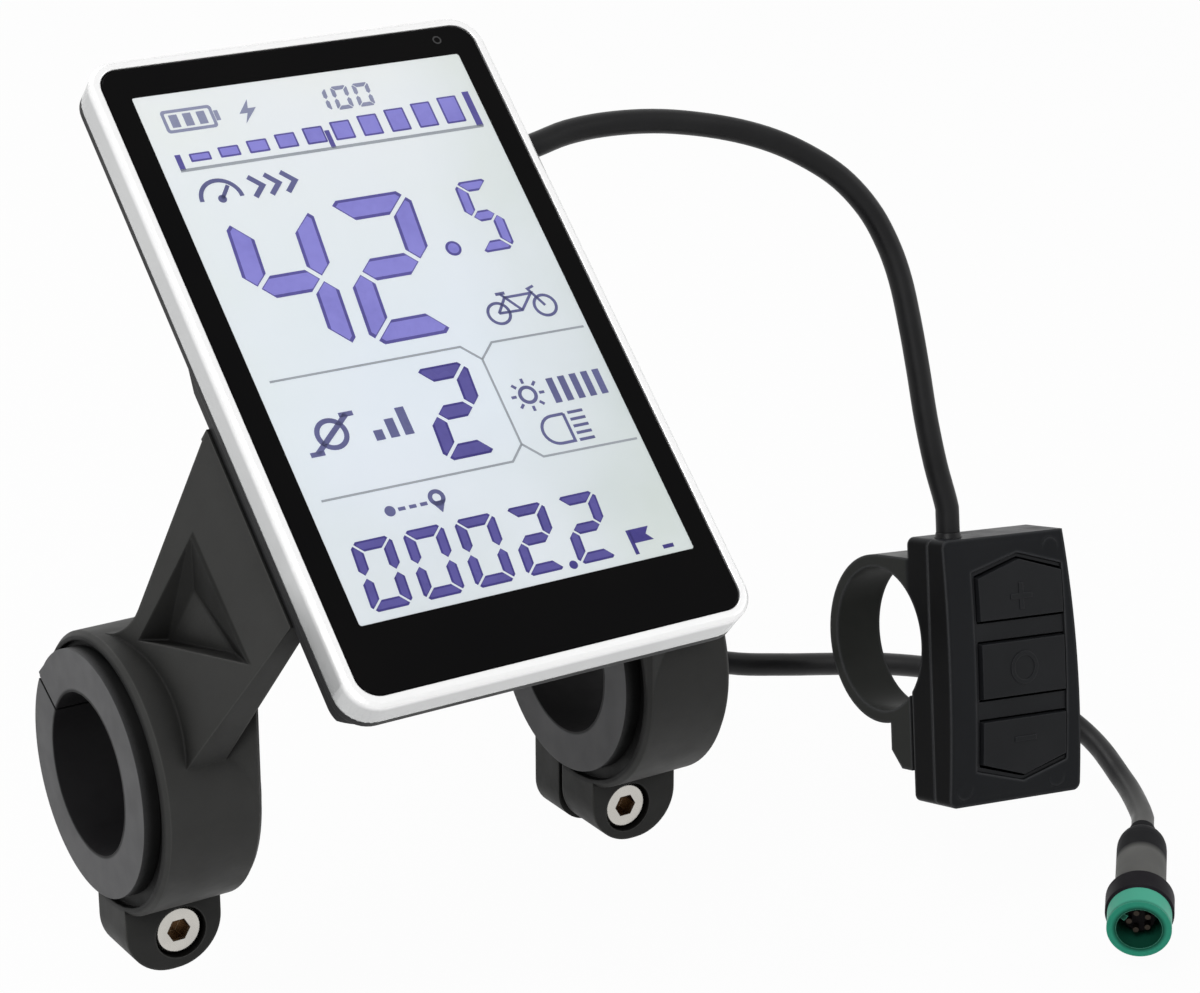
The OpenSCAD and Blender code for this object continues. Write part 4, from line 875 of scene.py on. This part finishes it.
def sun(p):
    p.ring(0, 0, 1.15, 0.5)
    for a in range(0, 360, 45):
        c, s = math.cos(math.radians(a)), math.sin(math.radians(a))
        p.line([(1.75 * c, 1.75 * s), (2.5 * c, 2.5 * s)], 0.4)


def brightness(p):
    for i in range(-2, 3):
        p.box(i * 1.8, 0, 1, 3.8)


def head_lamp(p):
    bowl, top = circle(0, 0, 2.1, 14, 90, 180), 2.1
    p.line([(1.9, top), (0, top)] + bowl + [(1.9, -top), (1.9, top)], 0.42)
    for i in range(5):
        p.line([(2.6, top - i * 1.05), (4.9, top - i * 1.05)], 0.42)


def route(p):
    p.disc(-3.5, -0.2, 0.75)
    for x in (-1.8, -0.2, 1.4):
        p.line([(x - 0.5, -0.2), (x + 0.5, -0.2)], 0.5)
    p.ring(3.5, 0.3, 0.9, 0.6)
    p.shape([(2.5, -0.2), (4.5, -0.2), (3.5, -1.9)])


def flag(p):
    p.line([(0, -1.8), (0, 1.8)], 0.55)
    p.shape([(0.1, 1.8), (3.2, 1.8), (2.4, 0.8), (3.2, -0.2), (0.1, -0.2)])
    p.line([(4, -1.6), (5.6, -1.6)], 0.55)


PICTURE_SIGNS = {
    ("signs_pale", "ink_pale"): ((battery, -18.2, 38.2), (bolt, -9.6, 38.2), (charge, 4.7, 38.2)),
    ("signs_grey", "ink_grey"): (
        (gauge, -18.4, 25.4), (arrows, -10.5, 26.5), (bicycle, 16.5, 1.4), (crank, -17.6, -11.2),
        (assist_steps, -9.2, -13.4), (sun, 11.6, -11.2), (brightness, 19.2, -11.3),
        (head_lamp, 13.4, -17.0), (route, -10.9, -23.2),
    ),
    ("signs_dark", "ink_dark"): ((flag, 16.6, -35.0),),
}
for (name, finish), figures in PICTURE_SIGNS.items():
    plates = sign()
    for figure, x, y in figures:
        plates.draw(figure, x, y)
    finished(plates.made(name), finish)

sensor = Plates(DISPLAY, 0.02, -0.3)
sensor.ring(22.6, 45.2, 0.55, 0.22)
finished(sensor.made("light_sensor_ring", 40), "chip")

# Raised signs on the keys
POD_FRONT, POD_BULGE, POD_H, POD_MIDDLE = 18.1, 1.0, 40.4, -4.0
BULGE_RADIUS = (POD_H**2 / 4 + POD_BULGE**2) / (2 * POD_BULGE)
KEY_X, KEY_RISE = 13.7, 10.85
SIGN_TOP, SIGN_LOW = 0.12, -0.15


class Raised(Plates):
    """Plates that follow the curved faces of the keys."""

    def at(self, points, height):
        lifted = []
        for x, z in points:
            sag = BULGE_RADIUS - math.sqrt(BULGE_RADIUS**2 - (z - POD_MIDDLE) ** 2)
            out = POD_FRONT + POD_BULGE / 3 - sag + height
            lifted.append(self.place @ (Vector((x, -out, z)) * MM))
        return lifted


def plus(p):
    p.shape([
        (-0.4, 2), (-0.4, 0.4), (-2, 0.4), (-2, -0.4), (-0.4, -0.4), (-0.4, -2),
        (0.4, -2), (0.4, -0.4), (2, -0.4), (2, 0.4), (0.4, 0.4), (0.4, 2),
    ])


def key_ring(p):
    p.ring(0, 0, 2.2, 0.7)


def minus(p):
    p.box(0, 0, 4, 0.8)


for key, figure, rise in (("up", plus, KEY_RISE), ("mode", key_ring, 0), ("down", minus, -KEY_RISE)):
    raised = Raised(POD, SIGN_TOP, SIGN_LOW)
    raised.draw(figure, KEY_X, POD_MIDDLE + rise)
    finished(raised.made("key_sign_" + key), "key", "key_%s_button" % key)

# Studio: plain soft light, and a white backdrop for the camera and in what metal and glass show
BACKDROP_RAYS = ("Is Camera Ray", "Is Glossy Ray", "Is Transmission Ray")
WORLD_LIGHT, WORLD_SEEN = 0.22, 1.0
PAPER_GLOW = 0.96
FLOOR_REACH, FLOOR_DROP = 3, 0.004


def backdrop_share(nodes, links):
    """One for the rays that see the backdrop, zero for those that light the object."""
    rays = nodes.new("ShaderNodeLightPath")
    total = None
    for kind in BACKDROP_RAYS:
        node = nodes.new("ShaderNodeMath")
        node.operation = "MAXIMUM"
        node.inputs[1].default_value = 0
        links.new(rays.outputs[kind], node.inputs[0])
        if total:
            links.new(total, node.inputs[1])
        total = node.outputs[0]
    return total


world = bpy.data.worlds.new("studio")
bpy.context.scene.world = world
world.use_nodes = True
nodes, links = world.node_tree.nodes, world.node_tree.links
strength = nodes.new("ShaderNodeMapRange")
strength.inputs["To Min"].default_value = WORLD_LIGHT
strength.inputs["To Max"].default_value = WORLD_SEEN
links.new(backdrop_share(nodes, links), strength.inputs["Value"])
links.new(strength.outputs["Result"], nodes["Background"].inputs["Strength"])
nodes["Background"].inputs["Color"].default_value = (1, 1, 1, 1)

low = cad_box[0].z - FLOOR_DROP
corners = [(x * FLOOR_REACH, y * FLOOR_REACH, low) for x, y in ((-1, -1), (1, -1), (1, 1), (-1, 1))]
floor = mesh_object("studio_floor", corners, [(0, 1, 2, 3)])
paper = Surface("studio_paper", (0.86, 0.86, 0.86, 1.0), 0.8)
paper.tone(3, (0.88, 0.88, 0.88, 1.0), 0.5)
paper_material = paper.done()
tree = paper_material.node_tree
glow = tree.nodes.new("ShaderNodeEmission")
blend = tree.nodes.new("ShaderNodeMixShader")
share = tree.nodes.new("ShaderNodeMapRange")
share.inputs["To Max"].default_value = PAPER_GLOW
tree.links.new(backdrop_share(tree.nodes, tree.links), share.inputs["Value"])
tree.links.new(share.outputs["Result"], blend.inputs["Fac"])
tree.links.new(paper.shader.outputs["BSDF"], blend.inputs[1])
tree.links.new(glow.outputs["Emission"], blend.inputs[2])
tree.links.new(blend.outputs["Shader"], tree.nodes["Material Output"].inputs["Surface"])
floor.data.materials.append(paper_material)


def lamp_panel(name, place, target, size, watts):
    data = bpy.data.lights.new(name, "AREA")
    data.shape = "RECTANGLE"
    data.size, data.size_y = size
    data.energy = watts
    lamp_object = bpy.data.objects.new(name, data)
    bpy.context.scene.collection.objects.link(lamp_object)
    lamp_object.location = place
    aim(lamp_object, Vector(target) - Vector(place))


lamp_panel("key_panel", (-0.7, -0.6, 0.95), (0, 0, 0), (0.7, 0.7), 9.5)
lamp_panel("side_panel", (0.95, -0.5, 0.5), (0.05, 0, 0), (0.6, 0.8), 1.6)
lamp_panel("back_panel", (-0.2, 0.9, 0.9), (0, 0, 0), (0.9, 0.5), 4)
lamp_panel("low_panel", (-0.6, -0.6, 0.02), (-0.02, 0, -0.02), (0.5, 0.2), 0.3)

bpy.context.scene.view_settings.view_transform = "Standard"
